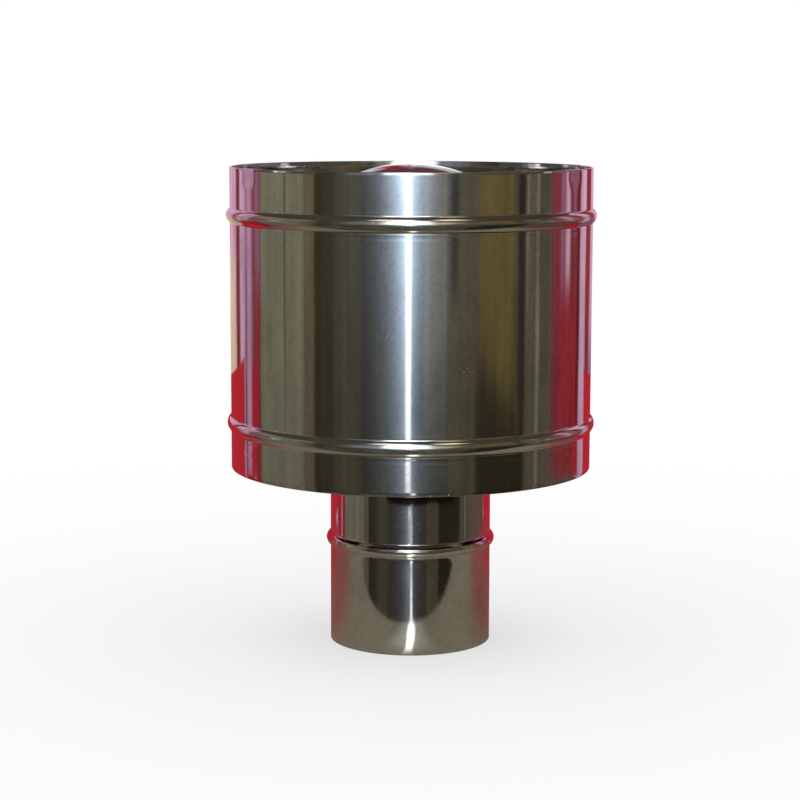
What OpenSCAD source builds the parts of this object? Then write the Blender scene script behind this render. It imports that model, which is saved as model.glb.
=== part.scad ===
// Anti-downdraught cowl: a flue pipe ends in a diffuser inside a wide open drum,
// under a rain cap that sits in the drum's top opening.
// Millimetres. The origin is the centre of the pipe's lower end, +Z runs up the flue's axis
// and -Y is the front.

/* [Sheet metal] */
// Thickness of the rolled sheet
sheet_t = 0.5; // [0.4:0.1:0.8]
// Thickness of the bracket strips
strip_t = 1; // [0.8:0.1:1.5]
// Clearance between two sheets that lie on each other
lap_gap = 0.1; // [0.05:0.05:0.2]
// Clearance between the two leaves of a folded hem
hem_gap = 0.1; // [0.05:0.05:0.2]
// Depth of a folded hem
hem_w = 5; // [3:0.5:7]

/* [Inlet pipe] */
// Outside diameter of the pipe
pipe_d = 112; // [100:1:125]
// Height of the bead's middle above the pipe's lower end
pipe_bead_z = 72; // [50:1:90]
// Height of the bead above the pipe's surface
pipe_bead_h = 2.8; // [2:0.1:3.2]
// Radius of the bead's crown
pipe_bead_r = 4.6; // [4:0.1:6]
// Radius of the fillets at the bead's sides
pipe_bead_fillet = 1.5; // [1:0.1:3]

/* [Drum] */
// Outside diameter of the drum
shell_d = 250; // [235:1:280]
// Height of the drum
shell_h = 208; // [195:1:240]
// Height of the drum's lower edge above the pipe's lower end
shell_z = 123; // [105:1:150]
// Distance from the drum's upper edge to the upper bead's middle
upper_bead_inset = 33; // [28:1:45]
// Distance from the drum's lower edge to the lower bead's middle
lower_bead_inset = 31.5; // [28:0.5:45]
// Height of the drum's beads above its surface
shell_bead_h = 2.6; // [2:0.1:3.2]
// Radius of the crown of the drum's beads
shell_bead_r = 5; // [4:0.1:7]
// Radius of the fillets at the sides of the drum's beads
shell_bead_fillet = 2.5; // [1.5:0.1:4]

/* [Diffuser] */
// Height of the pipe's upper end above the drum's lower edge
pipe_in_shell = 52; // [46:1:60]
// Length of pipe that the diffuser's collar covers
collar_lap = 18; // [14:1:20]
// Height of the diffuser's flare
flare_h = 68; // [50:1:80]
// Inside diameter of the diffuser's mouth
mouth_d = 146; // [125:1:160]
// Radius of the bend between the collar and the flare
flare_bend_r = 4; // [2:0.5:8]

/* [Rain cap] */
// Outside diameter of the cap
cap_d = 186; // [176:1:200]
// Height of the cap's crown above the drum's upper edge
crown_rise = 2; // [-10:1:8]
// Radius of the cap's domed crown
crown_r = 104; // [80:1:120]
// Slope of the cap's flank
flank_slope = 20; // [15:1:25]
// Height of the cap's turned-down lip
lip_h = 7; // [6:0.5:9]
// Radius of the bend between the flank and the lip
lip_bend_r = 2; // [1.5:0.5:4]

/* [Deflector cone] */
// Distance from the cap's edge to the edge of the cone's flange
flange_inset = 9; // [5:1:12]
// Width of the cone's flange
flange_w = 16; // [12:1:20]
// Height of the cone below its flange
cone_h = 52; // [30:1:70]
// Radius of the bend between the cone and its flange
flange_bend_r = 3; // [2:0.5:5]

/* [Brackets] */
// Width of the brackets that carry the cap
upper_strip_w = 30; // [22:1:36]
// Width of the brackets that carry the drum
lower_strip_w = 25; // [22:1:32]
// Height of the foot that is welded inside the drum's upper edge
upper_foot_h = 17; // [12:1:20]
// Height of the feet of the brackets that carry the drum
lower_foot_h = 18; // [14:1:20]
// Height of those brackets above the hem at the drum's lower edge
web_rise = 1; // [0.5:0.5:3]
// Length of strip that lies on the cap
cap_seat_w = 18; // [14:1:22]
// Outside radius of the bends in the strips
strip_bend_r = 2.5; // [2:0.5:4]
// Distance between the two rivets of a bracket
rivet_pitch = 13; // [10:1:14]

/* [Blind rivets] */
// Diameter of the shank
rivet_d = 3.2; // [3:0.2:4]
// Diameter of the head
rivet_head_d = 6.5; // [6:0.1:8]
// Height of the head
rivet_head_h = 0.9; // [0.7:0.1:1.3]
// Diameter of the set tail
rivet_tail_d = 4.7; // [4.5:0.1:5.2]
// Length of the set tail
rivet_tail_h = 2.2; // [1.8:0.1:3]
// Diameter of the mandrel's stem
mandrel_d = 1.8; // [1.6:0.1:2]
// Clearance round the shank and the stem, and under the set tail
rivet_gap = 0.05; // [0.05:0.05:0.1]
// Number of rivets round the diffuser's collar
collar_rivet_count = 4; // [3:1:6]

/* [Hidden] */
$fn = 96;
mirror_steel = "#a9a79f";
strip_steel = "#b9b8b2";
rivet_steel = "#c9c9c6";
mandrel_steel = "#77756f";

// Bearings of the three brackets of each set, evenly round the axis and counted from +X
rear = 90;
front_left = rear + 360 / 3;
front_right = front_left + 360 / 3;
bearings = [front_left, front_right, rear];
// Steps in which an outline takes a bend, and half the arc that a strip is cut from
arc_steps = 6;
strip_half_arc = 24;
// A path's end this near the axis is on it
axis_tolerance = 0.001;

pipe_r = pipe_d / 2;
shell_r = shell_d / 2;
cap_r = cap_d / 2;
pipe_top = shell_z + pipe_in_shell;
shell_top = shell_z + shell_h;
fold_r = sheet_t + hem_gap / 2;

// The upper feet lie on the inner leaf of the drum's hem, and the lower ones on its wall
upper_foot_r = shell_r - 2 * fold_r - lap_gap;
lower_foot_r = shell_r - sheet_t - lap_gap;
web_z = shell_z + hem_w + web_rise;
lower_rivet_z = web_z + (lower_foot_h + strip_bend_r) / 2;

collar_r = pipe_r + lap_gap;
collar_rivet_z = pipe_top - collar_lap / 2;
flare_z = pipe_top + lap_gap;
mouth = [mouth_d / 2, flare_z + flare_h];

// The crown is a sphere that meets the flank's cone without a step
crown_centre = [0, shell_top + crown_rise - crown_r];
crown_edge = crown_centre + crown_r * [sin(flank_slope), cos(flank_slope)];
flange_out_r = cap_r - flange_inset;
flange_in_r = flange_out_r - flange_w;
seat_r = flange_out_r - flange_w / 2;
seat_reach = cap_seat_w / 2 * cos(flank_slope);

// What each kind of rivet holds together
lower_grip = strip_t + lap_gap + sheet_t;
collar_grip = sheet_t + lap_gap + sheet_t;
upper_grip = strip_t + 2 * (lap_gap + sheet_t);
rivet_r = rivet_d / 2;
mandrel_r = mandrel_d / 2;
mandrel_head_r = rivet_r - rivet_gap;
// A flat tail in a pipe touches at its rim first, so it stands off by the arc's rise
tail_seat = rivet_gap + pow(rivet_tail_d / 2, 2) / pipe_d;

function unit(v) = v / norm(v);
function left_of(v) = [-v[1], v[0]];
function reversed(v) = [for (i = [len(v) - 1:-1:0]) v[i]];
function joined(parts) = [for (part = parts) each part];

// Points of an arc, from one angle to another
function arc(centre, r, from, to) = [
    for (i = [0:arc_steps])
        let (a = from + (to - from) * i / arc_steps)
            centre + r * [cos(a), sin(a)]
];

// The arc that rounds the corner b between a and c
function corner(a, b, c, r) =
    let (
        to_a = unit(a - b),
        to_c = unit(c - b),
        half = acos(to_a * to_c) / 2,
        centre = b + unit(to_a + to_c) * r / sin(half),
        start = b + to_a * r / tan(half) - centre,
        end = b + to_c * r / tan(half) - centre,
        from = atan2(start[1], start[0]),
        turn = (atan2(end[1], end[0]) - from + 540) % 360 - 180
    )
    arc(centre, r, from, from + turn);

// A path with its inner corners rounded
function bent(path, r) = [
    path[0],
    for (i = [1:len(path) - 2]) each corner(path[i - 1], path[i], path[i + 1], r),
    path[len(path) - 1]
];

// The way from a path's point i to the face at distance 1 on its left.
// A path that ends on the axis keeps that end on the axis.
function side(path, i) =
    let (
        last = len(path) - 1,
        before = unit(path[max(i, 1)] - path[max(i, 1) - 1]),
        after = unit(path[min(i, last - 1) + 1] - path[min(i, last - 1)]),
        on_axis = (i == 0 || i == last) && abs(path[i][0]) < axis_tolerance
    )
    on_axis ? [0, 1 / before[0]] : (left_of(before) + left_of(after)) / (1 + before * after);

// Section of a sheet whose outer face follows the path, with its metal on the path's left
module sheet(path, t) {
    inner = [for (i = [0:len(path) - 1]) path[i] + t * side(path, i)];
    polygon(concat(path, reversed(inner)));
}

// Half the width of a bead, and the angle at which its crown meets its fillets
function bead_half(h, r, fillet) = sqrt(2 * (r + fillet) * h - h * h);
function bead_angle(h, r, fillet) = acos((r + fillet - h) / (r + fillet));

// Path up the outer face of a cylinder over one rolled bead
function bead(wall_r, z, h, r, fillet) =
    let (half = bead_half(h, r, fillet), angle = bead_angle(h, r, fillet))
    joined([
        arc([wall_r + fillet, z - half], fillet, 180, 180 - angle),
        tail(arc([wall_r + h - r, z], r, -angle, angle)),
        tail(arc([wall_r + fillet, z + half], fillet, 180 + angle, 180))
    ]);
function tail(v) = [for (i = [1:len(v) - 1]) v[i]];

// Path round a hem at the lower or upper edge of a cylinder, folded inwards
function lower_hem(wall_r, z) = concat(
    [[wall_r - 2 * fold_r, z + hem_w]],
    arc([wall_r - fold_r, z + fold_r], fold_r, 180, 360)
);
function upper_hem(wall_r, z) = concat(
    arc([wall_r - fold_r, z - fold_r], fold_r, 0, 180),
    [[wall_r - 2 * fold_r, z - hem_w]]
);

// A point over the cap's flank: r is the radius on the cap's upper face, h the height above it
function on_flank(r, h) =
    [
        r + h * sin(flank_slope),
        crown_edge[1] - (r - crown_edge[0]) * tan(flank_slope) + h * cos(flank_slope)
    ];

// Turns its children round the axis, to lie radially at a bearing
module at(bearing) {
    rotate([0, 0, bearing]) children();
}

// Sets its children on a cylinder round the axis, with their +Z pointing outwards
module on_cylinder(bearing, r, z) {
    at(bearing) translate([r, 0, z]) rotate([0, 90, 0]) children();
}

// Sets its children over the cap's flank, with their +Z along its normal
module over_flank(bearing, r, h) {
    place = on_flank(r, h);
    at(bearing) translate([place[0], 0, place[1]]) rotate([0, flank_slope, 0]) children();
}

// The bearings of a bracket's two rivets, which stand rivet_pitch apart at radius r
function pair(bearing, r) = [for (s = [-1, 1]) bearing + s * asin(rivet_pitch / 2 / r)];

// A strip bent along the path in its own radial plane, and rolled to the pieces that it joins
module strip(path, width, bearing) {
    at(bearing) intersection() {
        rotate([0, 0, -strip_half_arc])
            rotate_extrude(angle = 2 * strip_half_arc)
                sheet(path, strip_t);
        translate([0, -width / 2, 0]) cube([shell_r, width, shell_top]);
    }
}

// A drilled hole for a rivet, through everything that the rivet holds
module rivet_hole(grip) {
    translate([0, 0, -grip - 1]) cylinder(r = rivet_r + rivet_gap, h = grip + 2, $fn = 48);
}

// A set blind rivet: its head stands on z = 0 and its tail swells behind the sheets
module rivet(grip) {
    head_r = rivet_head_d / 2;
    tail_r = rivet_tail_d / 2;
    stem_r = mandrel_r + rivet_gap;
    tail_top = -grip - tail_seat;
    tail_end = tail_top - rivet_tail_h;
    color(rivet_steel) rotate_extrude($fn = 48) polygon([
        [stem_r, tail_end],
        [rivet_r, tail_end],
        [tail_r, tail_top - rivet_tail_h / 3],
        [tail_r, tail_top],
        [rivet_r, tail_top],
        [rivet_r, 0],
        [head_r, 0],
        [head_r, rivet_head_h / 4],
        [head_r * 0.8, rivet_head_h * 0.75],
        [stem_r + 0.4, rivet_head_h],
        [stem_r, rivet_head_h]
    ]);
}

// What stays of a blind rivet's mandrel: the stem in the rivet and the head behind its tail
module mandrel(grip) {
    tail_end = -grip - tail_seat - rivet_tail_h;
    head_top = tail_end - rivet_gap;
    color(mandrel_steel) rotate_extrude($fn = 48) polygon([
        [0, head_top - mandrel_head_r],
        [mandrel_head_r * 0.7, head_top - mandrel_head_r * 0.8],
        [mandrel_head_r, head_top - mandrel_head_r * 0.3],
        [mandrel_head_r, head_top],
        [mandrel_r, head_top],
        [mandrel_r, rivet_head_h / 2],
        [0, rivet_head_h / 2]
    ]);
}

// Places its children at a bracket's rivets on the pipe, or on the cap
module at_lower_rivets(bearing) {
    face_r = collar_r + strip_t;
    for (b = pair(bearing, pipe_r)) on_cylinder(b, face_r, lower_rivet_z) children();
}

module at_upper_rivets(bearing) {
    for (b = pair(bearing, seat_r)) over_flank(b, seat_r, lap_gap + strip_t) children();
}

module at_collar_rivets() {
    for (i = [0:collar_rivet_count - 1])
        on_cylinder(i * 360 / collar_rivet_count, collar_r + sheet_t, collar_rivet_z) children();
}

// The drum: one rolled sheet with a hem at each edge and two rolled beads
module outer_shell() {
    path = joined([
        lower_hem(shell_r, shell_z),
        bead(shell_r, shell_z + lower_bead_inset, shell_bead_h, shell_bead_r, shell_bead_fillet),
        bead(shell_r, shell_top - upper_bead_inset, shell_bead_h, shell_bead_r, shell_bead_fillet),
        upper_hem(shell_r, shell_top)
    ]);
    color(mirror_steel) rotate_extrude() sheet(path, sheet_t);
}

// The pipe: its lower stretch is the spigot, and the bead is the stop for the flue
module inlet_pipe() {
    path = joined([
        [[pipe_r, 0]],
        bead(pipe_r, pipe_bead_z, pipe_bead_h, pipe_bead_r, pipe_bead_fillet),
        [[pipe_r, pipe_top]]
    ]);
    color(mirror_steel) difference() {
        rotate_extrude() sheet(path, sheet_t);
        for (b = bearings) at_lower_rivets(b) rivet_hole(lower_grip);
        at_collar_rivets() rivet_hole(collar_grip);
    }
}

// The diffuser: a collar over the pipe's upper end, and a flare with its hem folded outwards
module diffuser() {
    flare_foot = [collar_r, flare_z];
    rise = atan2(mouth[1] - flare_foot[1], mouth[0] - flare_foot[0]);
    along = [cos(rise), sin(rise)];
    fold_centre = mouth - fold_r * left_of(along);
    leaf_end = fold_centre - fold_r * left_of(along) - hem_w * along;
    path = joined([
        [leaf_end],
        arc(fold_centre, fold_r, rise - 90, rise + 90),
        tail(bent([mouth, flare_foot, [collar_r, pipe_top - collar_lap]], flare_bend_r))
    ]);
    color(mirror_steel) difference() {
        rotate_extrude() sheet(path, sheet_t);
        at_collar_rivets() rivet_hole(collar_grip);
    }
}

// The cap: a domed crown, a straight flank and a turned-down lip with its hem folded inwards
module rain_cap() {
    edge = on_flank(cap_r, 0);
    lip_z = edge[1] - lip_h;
    path = joined([
        lower_hem(cap_r, lip_z),
        tail(bent([[cap_r, lip_z + fold_r], edge, crown_edge], lip_bend_r)),
        tail(arc(crown_centre, crown_r, 90 - flank_slope, 90))
    ]);
    color(mirror_steel) difference() {
        rotate_extrude() sheet(path, sheet_t);
        for (b = bearings) at_upper_rivets(b) rivet_hole(upper_grip);
    }
}

// The deflector: a cone that points down the flue, on a flange under the cap's flank
module deflector_cone() {
    drop = -2 * sheet_t - lap_gap;
    bend = on_flank(flange_in_r, drop);
    path = bent([[0, bend[1] - cone_h], bend, on_flank(flange_out_r, drop)], flange_bend_r);
    color(mirror_steel) difference() {
        rotate_extrude() sheet(path, sheet_t);
        for (b = bearings) at_upper_rivets(b) rivet_hole(upper_grip);
    }
}

// A bracket that carries the drum: a foot on the pipe, a level web and a foot on the drum
module lower_bracket(bearing) {
    path = bent([
        [collar_r, web_z + lower_foot_h],
        [collar_r, web_z],
        [lower_foot_r, web_z],
        [lower_foot_r, web_z + lower_foot_h]
    ], strip_bend_r);
    color(strip_steel) difference() {
        strip(path, lower_strip_w, bearing);
        at_lower_rivets(bearing) rivet_hole(lower_grip);
    }
}

// A bracket that carries the cap: it lies on the cap's flank and runs out to the drum's edge
module upper_bracket(bearing) {
    path = bent([
        on_flank(seat_r - seat_reach, lap_gap),
        on_flank(seat_r + seat_reach, lap_gap),
        [upper_foot_r, shell_top - upper_foot_h],
        [upper_foot_r, shell_top]
    ], strip_bend_r);
    color(strip_steel) difference() {
        strip(path, upper_strip_w, bearing);
        at_upper_rivets(bearing) rivet_hole(upper_grip);
    }
}

module lower_bracket_front_left() { lower_bracket(front_left); }
module lower_bracket_front_right() { lower_bracket(front_right); }
module lower_bracket_rear() { lower_bracket(rear); }
module upper_bracket_front_left() { upper_bracket(front_left); }
module upper_bracket_front_right() { upper_bracket(front_right); }
module upper_bracket_rear() { upper_bracket(rear); }

module lower_rivets_front_left() { at_lower_rivets(front_left) rivet(lower_grip); }
module lower_rivets_front_right() { at_lower_rivets(front_right) rivet(lower_grip); }
module lower_rivets_rear() { at_lower_rivets(rear) rivet(lower_grip); }
module upper_rivets_front_left() { at_upper_rivets(front_left) rivet(upper_grip); }
module upper_rivets_front_right() { at_upper_rivets(front_right) rivet(upper_grip); }
module upper_rivets_rear() { at_upper_rivets(rear) rivet(upper_grip); }
module collar_rivets() { at_collar_rivets() rivet(collar_grip); }

module lower_rivet_mandrels() {
    for (b = bearings) at_lower_rivets(b) mandrel(lower_grip);
}

module upper_rivet_mandrels() {
    for (b = bearings) at_upper_rivets(b) mandrel(upper_grip);
}

module collar_rivet_mandrels() {
    at_collar_rivets() mandrel(collar_grip);
}

outer_shell();
inlet_pipe();
diffuser();
rain_cap();
deflector_cone();
lower_bracket_front_left();
lower_bracket_front_right();
lower_bracket_rear();
upper_bracket_front_left();
upper_bracket_front_right();
upper_bracket_rear();
lower_rivets_front_left();
lower_rivets_front_right();
lower_rivets_rear();
upper_rivets_front_left();
upper_rivets_front_right();
upper_rivets_rear();
collar_rivets();
lower_rivet_mandrels();
upper_rivet_mandrels();
collar_rivet_mandrels();
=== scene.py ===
"""Looks of a static chimney cowl in mirror-finished stainless sheet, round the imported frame."""

import logging
import math
from collections.abc import Callable, Sequence
from dataclasses import dataclass
from enum import Enum
from functools import cache, wraps
from typing import ClassVar

import bpy
import numpy as np
from bpy.types import Material, Node, NodeSocket, NodeTree, Object, World
from mathutils import Matrix, Vector


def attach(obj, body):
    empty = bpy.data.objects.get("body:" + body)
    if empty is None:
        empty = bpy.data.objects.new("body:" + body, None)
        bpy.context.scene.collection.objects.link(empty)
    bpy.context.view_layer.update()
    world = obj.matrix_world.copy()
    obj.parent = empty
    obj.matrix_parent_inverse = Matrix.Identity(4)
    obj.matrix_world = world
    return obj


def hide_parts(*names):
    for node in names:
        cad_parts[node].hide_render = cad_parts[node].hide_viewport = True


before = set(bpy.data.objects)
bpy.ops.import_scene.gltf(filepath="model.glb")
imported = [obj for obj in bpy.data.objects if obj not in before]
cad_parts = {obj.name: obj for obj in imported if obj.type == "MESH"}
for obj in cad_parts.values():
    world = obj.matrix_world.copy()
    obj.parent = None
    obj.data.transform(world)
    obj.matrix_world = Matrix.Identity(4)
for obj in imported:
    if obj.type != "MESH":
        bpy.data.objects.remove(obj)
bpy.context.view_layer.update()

MM = 0.001
AXIS_TOLERANCE = 0.0005
FULL_TURN = 360.0
HALF_TURN = 180.0
QUARTER_TURN = 90.0

Point = tuple[float, float]
Spot = tuple[float, float, float]
Colour = tuple[float, float, float]

log = logging.getLogger("cowl")


# Sections of bent sheet, as (radius, height) points in millimetres


def arc(centre: Point, radius: float, start: float, end: float, steps: int) -> list[Point]:
    """Points of an arc in the section's plane.

    Args:
        centre: Centre of the arc.
        radius: Its radius.
        start: Angle of its first point, in degrees from the outward direction.
        end: Angle of its last point.
        steps: Number of steps between them.

    Returns:
        The points, first and last included.
    """
    angles = [math.radians(start + (end - start) * i / steps) for i in range(steps + 1)]
    return [(centre[0] + radius * math.cos(a), centre[1] + radius * math.sin(a)) for a in angles]


def straight(start: Point, end: Point, step: float) -> list[Point]:
    """Points along a straight line.

    Args:
        start: First point.
        end: Last point.
        step: Largest distance between two points.

    Returns:
        The points, first and last included.
    """
    count = max(1, math.ceil(math.dist(start, end) / step))
    return [
        (start[0] + (end[0] - start[0]) * i / count, start[1] + (end[1] - start[1]) * i / count)
        for i in range(count + 1)
    ]


def chained(*runs: Sequence[Point]) -> list[Point]:
    """Joins runs of points into one path.

    Args:
        runs: The runs, in order.

    Returns:
        The path, without points that repeat the one before.
    """
    path: list[Point] = []
    for point in (p for run in runs for p in run):
        if not path or math.dist(point, path[-1]) > AXIS_TOLERANCE:
            path.append(point)
    return path


def direction(a: Point, b: Point) -> Point:
    """Unit vector from a to b."""
    length = math.dist(a, b)
    return ((b[0] - a[0]) / length, (b[1] - a[1]) / length)


def bearing_of(a: Point, b: Point) -> float:
    """Direction from a to b, in degrees from the outward direction."""
    return math.degrees(math.atan2(b[1] - a[1], b[0] - a[0]))


def onward(start: Point, way: Point, distance: float) -> Point:
    """Point at a distance from another, along a unit vector."""
    return (start[0] + way[0] * distance, start[1] + way[1] * distance)


def bent(path: Sequence[Point], radius: float, steps: int = 8) -> list[Point]:
    """Rounds the inner corners of a path.

    Args:
        path: The path's points.
        radius: Radius of each bend.
        steps: Steps in each bend.

    Returns:
        The path with an arc at each inner corner.
    """
    rounded = [path[0]]
    for before, at, after in zip(path, path[1:], path[2:]):
        back, ahead = direction(at, before), direction(at, after)
        half = math.acos(back[0] * ahead[0] + back[1] * ahead[1]) / 2
        middle = direction((0, 0), (back[0] + ahead[0], back[1] + ahead[1]))
        centre = onward(at, middle, radius / math.sin(half))
        run = radius / math.tan(half)
        start = bearing_of(centre, onward(at, back, run))
        end = bearing_of(centre, onward(at, ahead, run))
        turn = (end - start + 3 * HALF_TURN) % FULL_TURN - HALF_TURN
        rounded += arc(centre, radius, start, start + turn, steps)
    return [*rounded, path[-1]]


def thickened(path: Sequence[Point], thickness: float) -> list[Point]:
    """Section of a sheet, one face of which follows a path with the metal on its left.

    Args:
        path: That face. An end on the axis stays on the axis.
        thickness: Thickness of the sheet.

    Returns:
        The section's outline. One that touches the axis starts and ends there.
    """
    last = len(path) - 1
    inner: list[Point] = []
    for i, (r, z) in enumerate(path):
        before = direction(path[max(i, 1) - 1], path[max(i, 1)])
        after = direction(path[min(i, last - 1)], path[min(i, last - 1) + 1])
        if i in (0, last) and r < AXIS_TOLERANCE:
            inner.append((0.0, z + thickness / before[0]))
            continue
        scale = thickness / (1 + before[0] * after[0] + before[1] * after[1])
        inner.append((r - (before[1] + after[1]) * scale, z + (before[0] + after[0]) * scale))
    if path[-1][0] < AXIS_TOLERANCE:
        return [*reversed(inner), *path]
    return [*path, *reversed(inner)]


@dataclass(frozen=True)
class Hem:
    """A folded edge of the sheet, on the inner side of a cylinder."""

    depth: float = 5.0
    fold: float = 0.55
    steps: int = 10

    def path(self, wall: float, edge: float, upper: bool = False) -> list[Point]:
        """Path round the hem: to the wall at a lower edge, and from it at an upper one.

        Args:
            wall: Radius of the cylinder.
            edge: Height of its edge.
            upper: Whether that is its upper edge.

        Returns:
            Points between the inner leaf's end and the wall.
        """
        inwards = -1 if upper else 1
        leaf = (wall - 2 * self.fold, edge + inwards * self.depth)
        centre = (wall - self.fold, edge + inwards * self.fold)
        if upper:
            return [*arc(centre, self.fold, 0, HALF_TURN, self.steps), leaf]
        return [leaf, *arc(centre, self.fold, HALF_TURN, FULL_TURN, self.steps)]


@dataclass(frozen=True)
class Bead:
    """A rolled bead: how high it stands, and the radii of its crown and of its fillets.

    The rollers leave a faint ripple below and above it, as (distance from the bead, rise) pairs.
    """

    height: float
    crown: float
    fillet: float
    below: tuple[Point, ...]
    above: tuple[Point, ...]
    fillet_steps: int = 7
    crown_steps: int = 14

    @property
    def half_width(self) -> float:
        """Half the bead's width where it leaves the wall."""
        reach = self.crown + self.fillet
        return math.sqrt(2 * reach * self.height - self.height**2)

    def span(self, middle: float) -> Point:
        """Heights at which its ripples start and end, for a bead whose middle is at a height."""
        half = self.half_width
        return (middle - half - self.below[-1][0], middle + half + self.above[-1][0])

    def path(self, wall: float, middle: float) -> list[Point]:
        """Path up the outer face of a cylinder, over the bead.

        Args:
            wall: Radius of the cylinder.
            middle: Height of the bead's middle.

        Returns:
            The points, from where the lower ripple starts to where the upper one ends.
        """
        reach = self.crown + self.fillet
        lean = math.degrees(math.acos((reach - self.height) / reach))
        foot, half = wall + self.fillet, self.half_width
        top = (wall + self.height - self.crown, middle)
        rising, falling = (HALF_TURN, HALF_TURN - lean), (HALF_TURN + lean, HALF_TURN)
        return chained(
            [(wall + rise, middle - half - away) for away, rise in reversed(self.below)],
            arc((foot, middle - half), self.fillet, *rising, self.fillet_steps),
            arc(top, self.crown, -lean, lean, self.crown_steps),
            arc((foot, middle + half), self.fillet, *falling, self.fillet_steps),
            [(wall + rise, middle + half + away) for away, rise in self.above],
        )


class Bench:
    """Modelling moves, each made with Blender's own operators as by hand."""

    sharpest_smooth: ClassVar[float] = 35.0
    sharpest_unbevelled: ClassVar[float] = 40.0
    press_core: ClassVar[float] = 1.6
    press_margin: ClassVar[float] = 0.6
    column_tolerance: ClassVar[float] = 0.1
    crest_tolerance: ClassVar[float] = 0.04
    wall_share: ClassVar[float] = 0.9

    @staticmethod
    def clear() -> None:
        """Leaves edit mode and deselects everything."""
        if bpy.context.mode != "OBJECT":
            bpy.ops.object.mode_set(mode="OBJECT")
        bpy.ops.object.select_all(action="DESELECT")

    @classmethod
    def take(cls, piece: Object) -> None:
        """Makes a piece the only selected and the active one.

        Args:
            piece: The piece.
        """
        cls.clear()
        piece.select_set(True)
        bpy.context.view_layer.objects.active = piece

    @classmethod
    def draw(cls, name: str, outline: Sequence[Point]) -> Object:
        """Draws a section in the XZ plane by extruding one vertex from point to point.

        Args:
            name: Name of the new piece.
            outline: The section's outline. It is closed unless it ends on the axis.

        Returns:
            The piece, in edit mode with all of it selected.
        """
        cls.clear()
        on_axis = outline[0][0] < AXIS_TOLERANCE and outline[-1][0] < AXIS_TOLERANCE
        points = list(outline) if on_axis else [*outline, outline[0]]
        bpy.ops.mesh.primitive_plane_add(size=MM)
        piece = bpy.context.object
        piece.name = piece.data.name = name
        bpy.ops.object.mode_set(mode="EDIT")
        bpy.ops.mesh.select_mode(type="VERT")
        bpy.ops.mesh.select_all(action="SELECT")
        bpy.ops.mesh.merge(type="CENTER")
        bpy.ops.transform.translate(value=(points[0][0] * MM, 0, points[0][1] * MM))
        for (r0, z0), (r1, z1) in zip(points, points[1:]):
            move = ((r1 - r0) * MM, 0, (z1 - z0) * MM)
            bpy.ops.mesh.extrude_region_move(TRANSFORM_OT_translate={"value": move})
        bpy.ops.mesh.select_all(action="SELECT")
        bpy.ops.mesh.remove_doubles(threshold=MM * AXIS_TOLERANCE)
        return piece

    @classmethod
    def spin(cls, piece: Object, columns: int, sweep: float = FULL_TURN) -> None:
        """Spins a drawn section round the flue's axis and turns its faces outwards.

        Args:
            piece: A piece in edit mode, with its section selected.
            columns: Number of columns of faces.
            sweep: Angle of the spin in degrees, centred on +X if it is less than a full turn.
        """
        bpy.ops.mesh.spin(
            steps=columns, dupli=False, angle=math.radians(sweep), center=(0, 0, 0), axis=(0, 0, 1)
        )
        bpy.ops.mesh.select_all(action="SELECT")
        bpy.ops.mesh.remove_doubles(threshold=MM * AXIS_TOLERANCE)
        bpy.ops.mesh.normals_make_consistent(inside=False)
        bpy.ops.object.mode_set(mode="OBJECT")
        if sweep < FULL_TURN:
            cls.place(piece, Matrix.Rotation(math.radians(sweep / 2), 4, "Z"))

    @classmethod
    def roll(cls, name: str, outline: Sequence[Point], columns: int) -> Object:
        """Draws a section and spins it all the way round.

        Args:
            name: Name of the new piece.
            outline: The section's outline.
            columns: Number of columns of faces.

        Returns:
            The piece, in object mode.
        """
        piece = cls.draw(name, outline)
        cls.spin(piece, columns)
        return piece

    @classmethod
    def place(cls, piece: Object, matrix: Matrix) -> None:
        """Moves a piece and applies the move to its mesh.

        Args:
            piece: The piece.
            matrix: Where it goes.
        """
        cls.take(piece)
        piece.matrix_world = matrix
        bpy.ops.object.transform_apply(location=True, rotation=True, scale=True)

    @classmethod
    def set_out(cls, name: str, pattern: Object, matrices: Sequence[Matrix]) -> Object:
        """Copies a pattern piece to each of its places and joins the copies.

        Args:
            name: Name of the joined piece.
            pattern: The piece to copy.
            matrices: The places.

        Returns:
            The joined piece, with its own mesh.
        """
        copies = []
        for matrix in matrices:
            copied = pattern.copy()
            copied.data = pattern.data.copy()
            bpy.context.scene.collection.objects.link(copied)
            cls.place(copied, matrix)
            copies.append(copied)
        cls.take(copies[0])
        for copied in copies[1:]:
            copied.select_set(True)
        if len(copies) > 1:
            bpy.ops.object.join()
        copies[0].name = copies[0].data.name = name
        return copies[0]

    @classmethod
    def pick(cls, piece: Object, chosen: np.ndarray) -> None:
        """Enters edit mode with some vertices selected.

        Args:
            piece: The piece.
            chosen: True for each vertex to select.
        """
        cls.take(piece)
        mesh = piece.data
        mesh.polygons.foreach_set("select", np.zeros(len(mesh.polygons), bool))
        mesh.edges.foreach_set("select", np.zeros(len(mesh.edges), bool))
        mesh.vertices.foreach_set("select", chosen)
        bpy.ops.object.mode_set(mode="EDIT")
        bpy.ops.mesh.select_mode(type="VERT")

    @staticmethod
    def read(piece: Object, what: str) -> np.ndarray:
        """Reads a vector of each of a piece's vertices.

        Args:
            piece: The piece.
            what: Name of the vector: co, in metres, or normal.

        Returns:
            The vectors, one row each.
        """
        found = np.empty(len(piece.data.vertices) * 3)
        piece.data.vertices.foreach_get(what, found)
        return found.reshape(-1, 3)

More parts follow.
